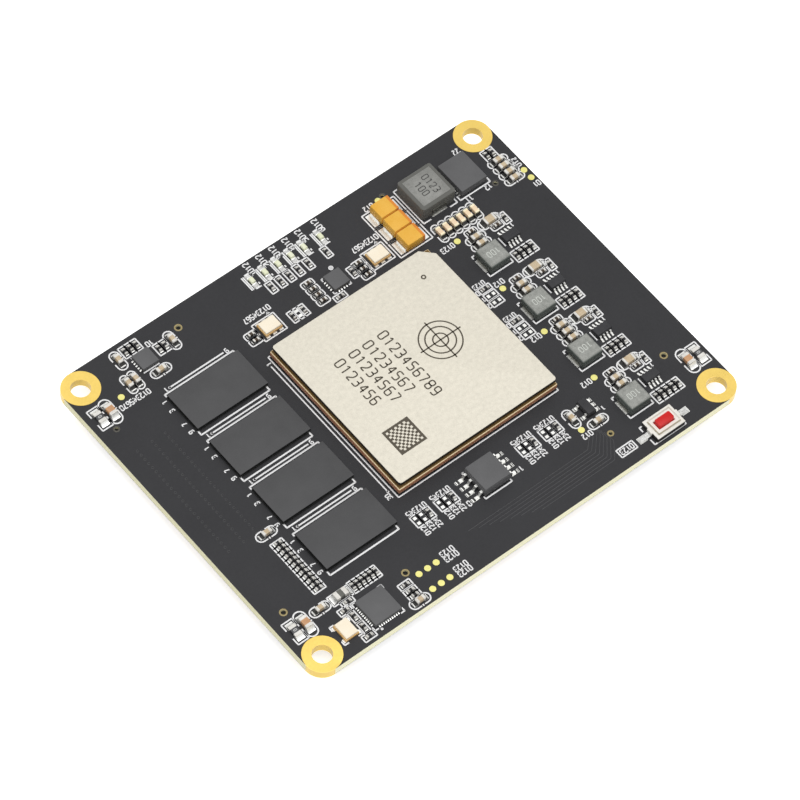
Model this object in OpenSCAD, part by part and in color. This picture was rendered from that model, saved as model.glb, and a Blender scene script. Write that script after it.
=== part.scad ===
// System on module: a programmable-logic core board with its memory, power supplies, clocks and
// board-to-board plugs. Millimetres. The board lies flat with its parts side up and its long side
// along X, and stands on the mating faces of its four plugs at z = 0.

/* [Board] */
// Length of the board along X
board_w = 83.2; // [75:0.1:95]
// Depth of the board along Y
board_d = 64.3; // [58:0.1:75]
// Thickness of the laminate
board_t = 1.6; // [1.2:0.1:2.4]
// Radius of the corners, and distance of each mounting hole from its two edges
corner_r = 3.1; // [2.8:0.1:3.5]
// Clear diameter of the plated mounting holes
hole_d = 3.2; // [2.6:0.1:3.6]
// Thickness of the plating on the corners and in the holes
plate_t = 0.05; // [0.03:0.01:0.1]
// Thickness of the tinned and gold pads
pad_t = 0.05; // [0.03:0.01:0.1]
// Diameter of the round test pads
test_pad_d = 1.05; // [0.8:0.05:1.4]

/* [Logic array package] */
// Side of the square substrate
fpga_w = 31; // [29:1:33]
// Thickness of the substrate
fpga_substrate_t = 1.25; // [0.8:0.05:1.6]
// Distance between solder balls
fpga_pitch = 1; // [1:0.1:1.27]
// Diameter of a solder ball
fpga_ball_d = 0.6; // [0.4:0.05:0.7]
// Height of a soldered ball
fpga_ball_h = 0.45; // [0.3:0.05:0.6]
// Distance from the substrate's edge to the lid's edge
lid_margin = 0.15; // [0.1:0.05:1]
// Thickness of the lid's top plate
lid_t = 0.75; // [0.5:0.05:1.5]
// Width of the lid's foot
lid_foot_w = 2; // [1:0.1:4]
// Distance from the lid's edge to its foot
lid_foot_inset = 0.3; // [0.1:0.05:0.6]
// Length of the cut across the lid's first-ball corner, along each side
lid_cut = 1.95; // [1:0.05:3]
// Radius of the lid's other corners
lid_r = 0.5; // [0.2:0.05:1]
// Size of the silicon die along X
die_w = 17; // [12:0.5:20]
// Size of the silicon die along Y
die_d = 19; // [12:0.5:20]
// Thickness of the die
die_t = 0.6; // [0.4:0.05:0.8]
// Thickness of the thermal pad between die and lid
thermal_t = 0.1; // [0.05:0.01:0.2]

/* [Memory chips] */
// Length of a chip along X
memory_l = 13.5; // [12:0.1:14]
// Width of a chip along Y
memory_w = 7.5; // [7.4:0.1:9]
// Thickness of the moulding
memory_t = 0.65; // [0.4:0.05:0.9]
// Thickness of the laminate under it
memory_substrate_t = 0.2; // [0.1:0.05:0.4]
// Height of a soldered ball
memory_ball_h = 0.2; // [0.15:0.05:0.4]
// Diameter of a solder ball
memory_ball_d = 0.45; // [0.3:0.05:0.5]
// Distance between solder balls
memory_ball_pitch = 0.8; // [0.65:0.05:0.8]
// Distance between chips along Y
memory_pitch = 10.28; // [9.8:0.01:10.4]

/* [Main supply] */
// Width of the converter along X
converter_w = 5; // [4:0.1:5.5]
// Depth of the converter along Y
converter_d = 6; // [5.8:0.1:6.4]
// Height of the converter's moulding
converter_h = 1.4; // [0.8:0.1:2]
// Side of the main inductor
coil_w = 6.6; // [5.5:0.1:6.7]
// Height of the main inductor
coil_h = 3; // [2:0.1:4]
// Bevel round the main inductor's top
coil_bevel = 0.25; // [0.1:0.05:0.6]
// Length of a tantalum capacitor along X
tantalum_l = 3.5; // [3.2:0.1:3.8]
// Width of a tantalum capacitor along Y
tantalum_w = 3; // [2.4:0.1:3]
// Height of a tantalum capacitor
tantalum_h = 1.9; // [1.2:0.1:2.5]
// Distance between tantalum capacitors along Y
tantalum_pitch = 3.22; // [3.1:0.01:3.4]

/* [Step-down supplies] */
// Side of an inductor
buck_coil_w = 4; // [3.6:0.1:4.2]
// Height of an inductor
buck_coil_h = 1.9; // [1.2:0.1:2.5]
// Bevel round an inductor's top
buck_coil_bevel = 0.3; // [0.1:0.05:0.5]
// Length of a regulator along X
buck_chip_l = 2.9; // [2.7:0.1:3]
// Width of a regulator along Y
buck_chip_w = 1.6; // [1.4:0.1:1.7]
// Height of a regulator
buck_chip_h = 0.9; // [0.8:0.1:1.2]

/* [Other chips] */
// Side of the flash memory's moulding
flash_w = 5.2; // [4.4:0.1:5.4]
// Height of the flash memory
flash_h = 1.95; // [1.5:0.05:2.2]
// Width of the linear regulator along X
ldo_w = 1.6; // [1.4:0.1:1.8]
// Length of the linear regulator along Y
ldo_l = 2.9; // [2.7:0.1:3.1]
// Height of the linear regulator
ldo_h = 1.1; // [0.8:0.1:1.4]
// Side of the large leadless controller
controller_w = 5; // [4.6:0.1:5.2]
// Side of the small leadless chips
small_chip_w = 3; // [2.8:0.1:3.1]
// Height of a leadless chip's moulding
leadless_h = 0.75; // [0.5:0.05:1]
// Thickness of a leadless chip's terminals
terminal_t = 0.1; // [0.05:0.01:0.2]
// Length of an oscillator or crystal
clock_l = 3.2; // [2.8:0.1:3.3]
// Width of an oscillator or crystal
clock_w = 2.5; // [2:0.1:2.6]
// Height of its ceramic base
clock_base_h = 0.45; // [0.3:0.05:0.7]
// Height of its metal lid
clock_lid_h = 0.4; // [0.2:0.05:0.6]

/* [Reset switch] */
// Length of the switch along X
switch_l = 5.4; // [5:0.1:5.8]
// Depth of the switch along Y
switch_d = 3.8; // [3.5:0.1:3.8]
// Height of the moulded base
switch_base_h = 0.95; // [0.95:0.05:1.4]
// Thickness of the cover sheet
switch_cover_t = 0.2; // [0.1:0.05:0.3]
// Length of the button
button_l = 2.9; // [2.4:0.1:3]
// Width of the button
button_w = 1.4; // [1.2:0.1:1.6]
// Height of the button's top above the cover
button_rise = 0.65; // [0.4:0.05:1.2]
// How far the button goes down
button_travel = 0.25; // [0.15:0.01:0.3]
// Gap round the button in the cover
button_gap = 0.12; // [0.08:0.01:0.2]

/* [Board-to-board plugs] */
// Height of a plug below the board
plug_h = 4; // [3:0.1:6]
// Overall length of a plug
plug_l = 43; // [42.5:0.1:44]
// Width of a plug's end blocks
plug_w = 5; // [4.6:0.1:5.4]
// Width of the bar that carries the contacts
plug_bar_w = 2.6; // [2:0.1:3]
// Length of a plug's end blocks
plug_end_l = 2.4; // [2:0.1:3]
// Height of a plug's end blocks
plug_end_h = 1.6; // [1:0.1:2.5]
// Distance between contacts
plug_pitch = 0.6; // [0.5:0.01:1]
// Distance of the left and right plugs' centre lines from their edges
plug_inset_x = 4.48; // [4:0.01:6]
// Distance of the front and back plugs' centre lines from their edges
plug_inset_y = 4.87; // [4:0.01:6]
// Distance of each locating peg from the plug's end
peg_inset = 1.45; // [1.2:0.01:1.6]
// Distance of the pegs from the plug's centre line
peg_offset = 1.5; // [1:0.05:1.8]
// Diameter of a plug's larger peg
peg_d = 0.8; // [0.6:0.05:1]
// Diameter of its smaller peg
small_peg_d = 0.6; // [0.5:0.05:0.8]
// Depth of a peg's end below the board's top
peg_recess = 0.3; // [0.1:0.05:0.6]
// Gap round a peg in its hole
peg_gap = 0.05; // [0.03:0.01:0.1]

/* [Hidden] */
$fn = 48;

// Levels
top_z = plug_h + board_t;

// Board size that the layout lists are drawn for. On another board, the groups near a corner keep
// their distance from it, and the other parts and groups move in proportion.
layout_w = 83.2;
layout_d = 64.3;
function in_step(p) = [p[0] * (board_w / layout_w - 1), p[1] * (board_d / layout_d - 1)];
function with_corner(x, y) = [x * (board_w - layout_w) / 2, y * (board_d - layout_d) / 2];
function at(p) = p + in_step(p);
function place(anchor, step, turn) = [at(anchor)[0] + step[0], at(anchor)[1] + step[1], turn];
function each_at(points, turn) = [for (p = points) place(p, [0, 0], turn)];
function in_row(anchor, count, step, turn) = [for (k = [0 : count - 1]) place(anchor, k * step, turn)];
function group_at(shift, points, turn) = [for (p = points) [p[0] + shift[0], p[1] + shift[1], turn]];
function in_row_from(start, count, step, turn) =
    [for (k = [0 : count - 1]) [start[0] + k * step[0], start[1] + k * step[1], turn]];

// Shifts of the groups
left_front = with_corner(-1, -1);
left_back = with_corner(-1, 1);
right_front = with_corner(1, -1);
right_back = with_corner(1, 1);
terminator_shift = in_step([-27.75, 27.05]);
controller_shift = [left_front[0], in_step([0, -27])[1]];
ladder_shift = in_step([-31.95, -15]);
tantalum_shift = in_step([18.2, 19.68]);
ldo_shift = in_step([19.85, -20.25]);

// Places of the chips, all as [x, y] of their middles
hole_at = [for (x = [-1, 1], y = [-1, 1]) [x * (board_w / 2 - corner_r), y * (board_d / 2 - corner_r)]];
fpga_at = at([3.1, 0.6]);
memory_middle = at([-22.55, 0.53]);
memory_at = [for (k = [0 : 3]) memory_middle + [0, (1.5 - k) * memory_pitch]];
converter_at = at([32.2, 24.15]);
coil_at = at([25.25, 24.6]);
tantalum_at = in_row([18.2, 19.68], 3, [0, tantalum_pitch], 0);
buck_at = [at([26.1, 9.35]), at([26.1, -1.55]), at([26.1, -12.45]), at([26.5, -23.35])];
buck_chip_step = [4.8, 1.55];
flash_at = at([0.2, -20.4]);
ldo_at = at([19.85, -20.25]);
controller_at = [-27.05, -27.95] + controller_shift;
buffer_at = at([4.4, 20.75]);
terminator_at = at([-27.75, 27.05]);
oscillator_at = each_at([[-8.95, 20.45], [12.4, 20.55]], 0);
crystal_at = group_at(controller_shift, [[-33.25, -28.1]], 90)[0];
switch_at = at([27.3, -29.55]);
led_at = concat(in_row([-5.9, 28.6], 5, [2.55, 0], 90), each_at([[7.55, 28.6]], 90));
bead_at = group_at(controller_shift, [[-30.2, -23]], 0)[0];

// Two-ended chips: [length, width, height, length of an end]
size_0402 = [1, 0.5, 0.5, 0.2];
size_0402_thin = [1, 0.5, 0.35, 0.2];
size_0603 = [1.6, 0.8, 0.8, 0.25];
size_0805 = [2, 1.25, 0.85, 0.35];
size_0805_thin = [2, 1.25, 0.5, 0.35];
size_bead = [2.2, 1.3, 0.9, 0.7];
size_led = [1.6, 0.8, 0.55, 0.3];
// Pads under them: [length, width, distance of the pad's middle from the chip's middle]
pads_0402 = [0.5, 0.55, 0.5];
pads_0603 = [0.85, 0.9, 0.95];
pads_0805 = [1, 1.35, 1.2];
body_inset = 0.02;

// Step-down supplies: places relative to the inductor's middle
buck_filter_step = [0.45, 3.2];
buck_filter_pitch = 1.4;
buck_filters = [2, 2, 3, 2];
buck_divider_step = [3.4, -1.8];
buck_divider_pitch = 1.04;
buck_dividers = [4, 4, 4, 5];
buck_input_step = [4.15, 5.75];
buck_bypass_step = [4.6, 4.4];
buck_output_step = [0.6, 3.1];
buck_sense_step = [6.45, 4.8];
function by_bucks(step, turn) = [for (p = buck_at) [p[0] + step[0], p[1] + step[1], turn]];

// Ceramic capacitors as [x, y, turn]
capacitors_0603_at = concat(
    group_at(terminator_shift, [[-30.95, 29.5], [-32.3, 25.2], [-30.95, 25.2], [-22.2, 27.5]], 90),
    group_at(terminator_shift, [[-26.9, 24.25]], 0),
    group_at(ladder_shift, [[-32.2, -8]], 0),
    group_at(controller_shift, [[-34, -22.95], [-21.4, -30.85]], 0),
    group_at(ldo_shift, [[16.95, -20.25]], 90),
    group_at(ldo_shift, [[19.9, -23]], 0),
    in_row_from([38.55, 23] + right_back, 4, [0, -1.37], 0),
    in_row([22.7, 17.95], 6, [1.39, 0], 90),
    [for (k = [0 : 3])
        each in_row_from(buck_at[k] + buck_filter_step, buck_filters[k], [0, buck_filter_pitch], 0)]
);
capacitors_0402_at = concat(
    in_row([-12.15, 19.7], 2, [0, 1.25], 0),
    in_row([0.6, 19.2], 4, [0, 1.28], 0),
    in_row([9.1, 18.75], 3, [0, 1.25], 0),
    by_bucks(buck_bypass_step, 0),
    [for (k = [0 : 3], start = [buck_at[k] + buck_output_step])
        [start[0], start[1] + buck_filters[k] * buck_filter_pitch, 0]]
);
capacitors_0805_at = concat(
    group_at(left_back, [[-37.45, 23.05]], 90),
    group_at(left_front, [[-37.25, -23.6]], 90),
    group_at(right_front, [[37.92, -23.05]], 90)
);
input_capacitors_at = by_bucks(buck_input_step, 0);

// Option places of three each, of which one is filled: [x, y, turn, filled]
bank_at = concat(
    [for (x = [-13, -8.4, 7.45, 12], k = [0 : 2]) concat(place([x, -19.9], [1.18 * k, 0], 90), [k == 2])],
    [for (y = [5.85, -1.55], k = [0 : 2]) concat(place([21.7, y], [0, -1.42 * k], 0), [k == 0])]
);

// Chip resistors as [x, y, turn]
resistors_0805_at = concat(
    group_at(left_back, [[-39.45, 23.05]], 90),
    group_at(left_front, [[-39.3, -23.65]], 90),
    group_at(right_front, [[39.98, -23.05]], 90)
);
resistors_0402_at = concat(
    in_row_from([-29.25, 30.15] + terminator_shift, 3, [1.1, 0], 90),
    in_row_from([-24.75, 27.45] + terminator_shift, 2, [1.12, 0], 90),
    each_at([[-4.2, 25.9], [-2.4, 25.9], [-0.65, 25.9], [1.1, 25.9], [3.05, 25.9], [6.6, 25.9]], 90),
    each_at([[-4.85, 19.7], [-2.9, 19.7], [7.5, 20.55]], 90),
    each_at([[3.15, 18.2]], 0),
    in_row_from([37.8, 24.8] + right_back, 2, [1.1, 0], 90),
    in_row_from([-31.95, -10.3] + ladder_shift, 12, [0, -0.885], 0),
    in_row_from([-27.75, -22.95] + controller_shift, 6, [0.87, 0], 90),
    group_at(controller_shift, [[-30.8, -26.95], [-30.8, -29.25]], 90),
    group_at(controller_shift, [[-30, -24.4], [-31.25, -25.35], [-31.1, -30.9]], 0),
    group_at(controller_shift, [[-21.4, -27.4], [-21.4, -28.6], [-21.4, -29.6]], 0),
    [for (p = bank_at) if (p[3]) [p[0], p[1], p[2]]],
    by_bucks(buck_sense_step, 90),
    [for (k = [0 : 3])
        each in_row_from(buck_at[k] + buck_divider_step, buck_dividers[k], [buck_divider_pitch, 0], 90)]
);
spare_0402_at = concat([for (p = bank_at) if (!p[3]) [p[0], p[1], p[2]]], each_at([[-3.9, 19.7]], 90));

// Round gold test pads
test_pads_at = concat(
    group_at(terminator_shift, [[-34.6, 24.1]], 0),
    group_at(tantalum_shift, [[18.95, 28.5]], 0),
    group_at(right_back, [[40.75, 19.25], [40.75, 17.5]], 0),
    each_at([[23.9, 15.2], [23.9, 4.25], [23.9, -5.65], [24.55, -16.65]], 0),
    group_at(ldo_shift, [[16.9, -22.65]], 0),
    [for (y = [-27.2, -30.4]) each in_row_from([-18.6, y] + controller_shift, 3, [1.65, 0], 0)]
);

// Capacitors under the board, below the logic array
underside_rows = 7;
underside_pitch = 2;
underside_at = [for (i = [0 : underside_rows - 1], j = [0 : underside_rows - 1])
    [fpga_at[0] + (i - (underside_rows - 1) / 2) * underside_pitch,
     fpga_at[1] + (j - (underside_rows - 1) / 2) * underside_pitch, 90]];

// Plugs as [x, y, turn]; the pegs lie on the same hand of each pair
plug_at = [
    [-board_w / 2 + plug_inset_x, 0, 90],
    [board_w / 2 - plug_inset_x, 0, 90],
    [0, -board_d / 2 + plug_inset_y, 0],
    [0, board_d / 2 - plug_inset_y, 0]
];
peg_end = [-1, 1];
peg_size = [peg_d, small_peg_d];
peg_reach = plug_l / 2 - peg_inset;
plug_tip = 0.3;
contact_margin = 1.3;
contact_count = floor((plug_l - 2 * plug_end_l - 2 * contact_margin) / plug_pitch + 0.001) + 1;
contact_w = 0.25;
contact_t = 0.15;
contact_tail = 0.85;
contact_start = 0.5;

// Logic array and memory packages
fpga_z = top_z + fpga_ball_h;
fpga_rows = floor((fpga_w - fpga_pitch) / fpga_pitch + 0.001);
lid_w = fpga_w - 2 * lid_margin;
lid_foot_h = die_t + thermal_t;
memory_z = top_z + memory_ball_h;
memory_rim = 0.7;
memory_rows = floor((memory_l - memory_rim) / memory_ball_pitch + 0.001);
memory_outer = floor((memory_w - memory_rim) / 2 / memory_ball_pitch + 0.001);

// Leads, turned plates and flat terminals
stand_off = 0.08;
lead_draft = 0.1;
small_lead_shoulder = 0.12;
flash_lead_shoulder = 0.3;
switch_lead_shoulder = 0.2;
buck_lead_w = 0.3;
buck_lead_t = 0.12;
buck_lead_rise = 0.35;
buck_lead_reach = 0.65;
buck_lead_foot = 0.35;
buck_lead_pitch = 0.65;
flash_lead_w = 0.42;
flash_lead_t = 0.2;
flash_lead_rise = 0.9;
flash_lead_reach = 1.35;
flash_lead_foot = 0.7;
flash_lead_pitch = 1.27;
flash_draft = 0.16;
ldo_lead_w = 0.4;
ldo_lead_t = 0.13;
ldo_lead_rise = 0.45;
ldo_lead_reach = 0.65;
ldo_lead_foot = 0.35;
ldo_lead_pitch = 0.95;
ldo_leads = [[0, -1], [0, 0], [0, 1], [180, -1], [180, 1]];
terminal_l = 0.4;
heat_margin = 0.8;
// Sides of leadless chips: [middle, turn, size across, size along, rim, pitch, terminal width]
leadless_sides = concat(
    [for (turn = [0 : 90 : 270]) [controller_at, turn, controller_w, controller_w, 0.9, 0.4, 0.2]],
    [for (turn = [0 : 90 : 270]) [buffer_at, turn, small_chip_w, small_chip_w, 0.9, 0.5, 0.24]],
    [for (turn = [0, 180]) [terminator_at, turn, small_chip_w, small_chip_w, 0.4, 0.5, 0.24]],
    [for (turn = [0, 180]) [converter_at, turn, converter_w, converter_d, 0.4, 0.5, 0.25]]
);
coil_foot_t = 0.1;
coil_foot_l = 1.6;
coil_plate_t = 0.15;
coil_plate_w = 2.7;
coil_plate_h = 1.5;
buck_plate_w = 2.4;
buck_plate_h = 0.45;
buck_plate_t = 0.12;
buck_foot_l = 1.2;
tantalum_plate_w = 2.2;
tantalum_plate_h = 0.4;
tantalum_plate_t = 0.12;
tantalum_foot_l = 0.9;
tantalum_draft = 0.06;
tantalum_band = [0.7, 0.9];
clock_lid_inset = 0.12;
clock_lid_bevel = 0.1;
led_end_h = 0.22;
led_bevel = 0.1;

// Pads reach this far past the metal that stands on them
pad_rim = 0.12;
flash_pad_past = 0.65;
small_pad_past = 0.3;
buck_pad_past = 0.45;
tantalum_pad_past = 1.05;
coil_pad_past = 0.35;
clock_pad_w = 0.7;
clock_pad_l = 0.85;

// Reset switch: levels above the board
switch_place = [switch_at[0], switch_at[1], 0];
switch_floor_t = 0.25;
switch_wall = 0.6;
switch_lead_w = 0.9;
switch_lead_t = 0.15;
switch_lead_rise = 0.2;
switch_lead_reach = 2.1;
switch_lead_foot = 1.2;
plateau_h = 0.2;
plateau_bevel = 0.15;
plateau_margin = 0.5;
ear_w = 1.1;
ear_drop = 0.4;
flange_catch = 0.1;
flange_past = button_gap + flange_catch;
flange_t = 0.2;
flange_gap = 0.05;
flange_z = switch_base_h - flange_gap - flange_t;
button_r = 0.25;
button_top = switch_base_h + switch_cover_t + plateau_h + button_rise;
dome_gap = 0.02;
dome_h = flange_z - switch_floor_t - dome_gap;
dome_t = 0.06;
dome_d = 2;

// Shapes shared by many parts

// Rectangle with round corners about the origin
module round_rect(w, d, r) {
    square([w - 2 * r, d], center = true);
    square([w, d - 2 * r], center = true);
    for (x = [-1, 1], y = [-1, 1])
        translate([x * (w / 2 - r), y * (d / 2 - r)]) circle(r);
}

// Block standing on z = 0 about the Z axis
module block(w, d, h) translate([-w / 2, -d / 2, 0]) cube([w, d, h]);

// Outline of a moulded body: drafted above and below an upright band that the leads come out of
function moulded_outline(w, h, draft, low, high) = [
    [-w / 2 + draft, 0], [w / 2 - draft, 0], [w / 2, low], [w / 2, high],
    [w / 2 - draft, h], [-w / 2 + draft, h], [-w / 2, high], [-w / 2, low]
];

// Outline of an upright block with a bevel round its top
function bevelled_outline(w, h, bevel) = [
    [-w / 2, 0], [w / 2, 0], [w / 2, h - bevel], [w / 2 - bevel, h], [-w / 2 + bevel, h], [-w / 2, h - bevel]
];

// Body that shows one outline from the front and one from the side
module two_outlines(w, d, front, side) {
    intersection() {
        rotate([90, 0, 0]) linear_extrude(d, center = true) polygon(front);
        rotate([90, 0, 90]) linear_extrude(w, center = true) polygon(side);
    }
}

module moulded(w, d, h, draft, low, high) {
    two_outlines(w, d, moulded_outline(w, h, draft, low, high), moulded_outline(d, h, draft, low, high));
}

module bevelled(w, d, h, bevel) {
    two_outlines(w, d, bevelled_outline(w, h, bevel), bevelled_outline(d, h, bevel));
}

// Bent lead that leaves a body at x = 0 and height rise, and stands on z = 0
module bent_lead(w, t, rise, shoulder, reach, foot) {
    rotate([90, 0, 0]) linear_extrude(w, center = true) polygon([
        [0, rise], [shoulder, rise], [reach - foot, 0], [reach, 0],
        [reach, t], [reach - foot + t / 2, t], [shoulder + t / 2, rise + t], [0, rise + t]
    ]);
}

// Places children on the board's top, or hanging from its underside
module on_board(p, lift) translate([p[0], p[1], top_z + lift]) rotate(p[2]) children();
module under_board(p, lift) translate([p[0], p[1], plug_h - lift]) mirror([0, 0, 1]) rotate(p[2]) children();

// Middle and ends of a two-ended chip
module chip_middle(size) {
    translate([0, 0, body_inset])
        block(size[0] - 2 * size[3], size[1] - 2 * body_inset, size[2] - 2 * body_inset);
}
module chip_ends(size) {
    for (x = [-1, 1]) translate([x * (size[0] - size[3]) / 2, 0, 0]) block(size[3], size[1], size[2]);
}
module chip_pads(pads) {
    for (x = [-1, 1]) translate([x * pads[2], 0, 0]) block(pads[0], pads[1], pad_t);
}

// Bar along +X from one distance to another
module bar(from, to, w, t) translate([from, -w / 2, 0]) cube([to - from, w, t]);

// Places children along a side of a leadless chip, as many as the side takes
module along_side(side, rim, pitch) {
    count = floor((side - rim) / pitch + 0.001);
    for (k = [0 : count - 1]) translate([0, (k - (count - 1) / 2) * pitch, 0]) children();
}

// Board

module board_outline() {
    square([board_w - 2 * corner_r, board_d], center = true);
    square([board_w, board_d - 2 * corner_r], center = true);
    for (p = hole_at) translate(p) circle(corner_r - plate_t);
}

module circuit_board() color("#3c3c3e") {
    translate([0, 0, plug_h]) linear_extrude(board_t) difference() {
        board_outline();
        for (p = hole_at) translate(p) circle(hole_d / 2 + plate_t);
        for (p = plug_at, k = [0, 1])
            translate([p[0], p[1]]) rotate(p[2]) translate([peg_end[k] * peg_reach, peg_offset])
                circle(peg_size[k] / 2 + peg_gap);
    }
}

// Gold lining of one hole with its two round lands and the plated corner beside it
module plated_corner(p) {
    translate([p[0], p[1], 0]) difference() {
        union() {
            translate([0, 0, top_z]) cylinder(plate_t, r = corner_r);
            translate([0, 0, plug_h - plate_t]) cylinder(plate_t, r = corner_r);
            translate([0, 0, plug_h]) cylinder(board_t, r = hole_d / 2 + plate_t);
            intersection() {
                translate([0, 0, plug_h]) difference() {
                    cylinder(board_t, r = corner_r);
                    cylinder(board_t, r = corner_r - plate_t);
                }
                translate([p[0] > 0 ? 0 : -corner_r, p[1] > 0 ? 0 : -corner_r, plug_h])
                    cube([corner_r, corner_r, board_t]);
            }
        }
        translate([0, 0, plug_h - 2 * plate_t]) cylinder(board_t + 4 * plate_t, d = hole_d);
    }
}

module hole_plating() color("#ffd764") for (p = hole_at) plated_corner(p);

module test_pads() color("#f5f096") for (p = test_pads_at) on_board(p, 0) cylinder(pad_t, d = test_pad_d);

// Pad under a lead or plate whose foot ends at the given distance from the chip's middle
module foot_pad(end, foot, past, w) bar(end - foot - pad_rim, end + past, w + 2 * pad_rim, pad_t);

module two_ended_pads() {
    for (p = concat(capacitors_0402_at, resistors_0402_at, spare_0402_at))
        on_board(p, 0) chip_pads(pads_0402);
    for (p = concat(capacitors_0603_at, led_at)) on_board(p, 0) chip_pads(pads_0603);
    for (p = concat(capacitors_0805_at, input_capacitors_at, resistors_0805_at, [bead_at]))
        on_board(p, 0) chip_pads(pads_0805);
    for (p = underside_at) under_board(p, 0) chip_pads(pads_0402);
}

module lead_pads() {
    for (p = buck_at, turn = [-90, 90], k = [-1.5 : 1.5])
        on_board([p[0] + buck_chip_step[0] + k * buck_lead_pitch, p[1] + buck_chip_step[1], turn], 0)
            bar(buck_chip_w / 2 + buck_lead_reach - buck_lead_foot - pad_rim,
                buck_chip_w / 2 + buck_lead_reach + small_pad_past, buck_lead_w, pad_t);
    for (turn = [0, 180], k = [-1.5 : 1.5])
        on_board([flash_at[0], flash_at[1] + k * flash_lead_pitch, turn], 0)
            foot_pad(flash_w / 2 + flash_lead_reach, flash_lead_foot, flash_pad_past, flash_lead_w);
    for (lead = ldo_leads)
        on_board([ldo_at[0], ldo_at[1] + lead[1] * ldo_lead_pitch, lead[0]], 0)
            foot_pad(ldo_w / 2 + ldo_lead_reach, ldo_lead_foot, small_pad_past, ldo_lead_w);
    for (turn = [0, 180]) on_board([switch_at[0], switch_at[1], turn], 0)
        foot_pad(switch_l / 2 + switch_lead_reach, switch_lead_foot, pad_rim, switch_lead_w);
}

module plate_pads() {
    for (turn = [-90, 90]) on_board([coil_at[0], coil_at[1], turn], 0)
        foot_pad(coil_w / 2, coil_foot_l, coil_pad_past, coil_plate_w);
    for (p = tantalum_at, turn = [0, 180]) on_board([p[0], p[1], turn], 0)
        foot_pad(tantalum_l / 2, tantalum_foot_l, tantalum_pad_past, tantalum_plate_w);
    for (p = buck_at, turn = [0, 180]) on_board([p[0], p[1], turn], 0)
        foot_pad(buck_coil_w / 2, buck_foot_l, buck_pad_past, buck_plate_w);
}

module leadless_pads() {
    leadless_bars(0, small_pad_past, pad_t);
    leadless_heat_pads(0, pad_t);
}

// Three pads along each long side of an oscillator, two along those of the crystal
module clock_pads() {
    for (p = oscillator_at, turn = [0, 180], k = [-1, 0, 1]) on_board([p[0], p[1], p[2] + turn], 0)
        translate([k * (clock_l - clock_pad_w) / 2, clock_w / 2 - clock_pad_l + small_pad_past, 0])
            translate([-clock_pad_w / 2, 0, 0]) cube([clock_pad_w, clock_pad_l, pad_t]);
    for (turn = [0, 180], k = [-1, 1]) on_board([crystal_at[0], crystal_at[1], crystal_at[2] + turn], 0)
        translate([k * (clock_l - clock_pad_w) / 2, clock_w / 2 - clock_pad_l + small_pad_past, 0])
            translate([-clock_pad_w / 2, 0, 0]) cube([clock_pad_w, clock_pad_l, pad_t]);
}

module solder_pads() color("#e8e8e4") {
    two_ended_pads();
    lead_pads();
    plate_pads();
    leadless_pads();
    clock_pads();
}

// Logic array package

module fpga_solder_balls() color("silver") {
    translate([fpga_at[0], fpga_at[1], top_z]) linear_extrude(fpga_ball_h)
        for (i = [0 : fpga_rows - 1], j = [0 : fpga_rows - 1])
            translate([(i - (fpga_rows - 1) / 2) * fpga_pitch, (j - (fpga_rows - 1) / 2) * fpga_pitch])
                circle(d = fpga_ball_d);
}

module fpga_substrate() color("#8a5a3c") {
    translate([fpga_at[0], fpga_at[1], fpga_z]) block(fpga_w, fpga_w, fpga_substrate_t);
}

module fpga_die() color("#505058") {
    translate([fpga_at[0], fpga_at[1], fpga_z + fpga_substrate_t]) block(die_w, die_d, die_t);
}

module fpga_thermal_pad() color("#9a9a9a") {
    translate([fpga_at[0], fpga_at[1], fpga_z + fpga_substrate_t + die_t]) block(die_w, die_d, thermal_t);
}

module lid_outline(w) {
    difference() {
        round_rect(w, w, lid_r);
        translate([w / 2, w / 2]) rotate(45) square(lid_cut * sqrt(2), center = true);
    }
}

module fpga_lid() color("#f0ecde") {
    translate([fpga_at[0], fpga_at[1], fpga_z + fpga_substrate_t]) {
        translate([0, 0, lid_foot_h]) linear_extrude(lid_t) lid_outline(lid_w);
        linear_extrude(lid_foot_h) difference() {
            lid_outline(lid_w - 2 * lid_foot_inset);
            square(lid_w - 2 * lid_foot_inset - 2 * lid_foot_w, center = true);
        }
    }
}

// Memory chips

module memory_chip(k) color("#565656") {
    translate([memory_at[k][0], memory_at[k][1], memory_z + memory_substrate_t])
        block(memory_l, memory_w, memory_t);
}

module memory_substrates() color("#1c1c1c") {
    for (p = memory_at) translate([p[0], p[1], memory_z]) block(memory_l, memory_w, memory_substrate_t);
}

// Rows of six balls, three on each side of a clear middle
module memory_solder_balls() color("silver") {
    for (p = memory_at) translate([p[0], p[1], top_z]) linear_extrude(memory_ball_h)
        for (row = [0 : memory_rows - 1], side = [-1, 1], column = [0 : 2])
            translate([row - (memory_rows - 1) / 2, side * (memory_outer - column)] * memory_ball_pitch)
                circle(d = memory_ball_d);
}

// Main supply

module power_converter() color("#626262") {
    on_board([converter_at[0], converter_at[1], 0], pad_t + terminal_t)
        block(converter_w, converter_d, converter_h);
}

module power_inductor() color("#969692") {
    on_board([coil_at[0], coil_at[1], 0], pad_t + coil_foot_t) intersection() {
        bevelled(coil_w, coil_w, coil_h - coil_foot_t, coil_bevel);
        linear_extrude(coil_h) round_rect(coil_w, coil_w, 2 * coil_bevel);
    }
}

// Upright plate against a body's side with a foot turned in under it
module turned_plate(body, width, height, thick, foot_t, foot_l) {
    rotate([90, 0, 0]) linear_extrude(width, center = true) polygon([
        [body / 2 - foot_l, 0], [body / 2 + thick, 0], [body / 2 + thick, height],
        [body / 2, height], [body / 2, foot_t], [body / 2 - foot_l, foot_t]
    ]);
}

module power_inductor_terminals() color("#d8d8d4") {
    for (turn = [-90, 90]) on_board([coil_at[0], coil_at[1], turn], pad_t)
        turned_plate(coil_w, coil_plate_w, coil_plate_h, coil_plate_t, coil_foot_t, coil_foot_l);
}

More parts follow.
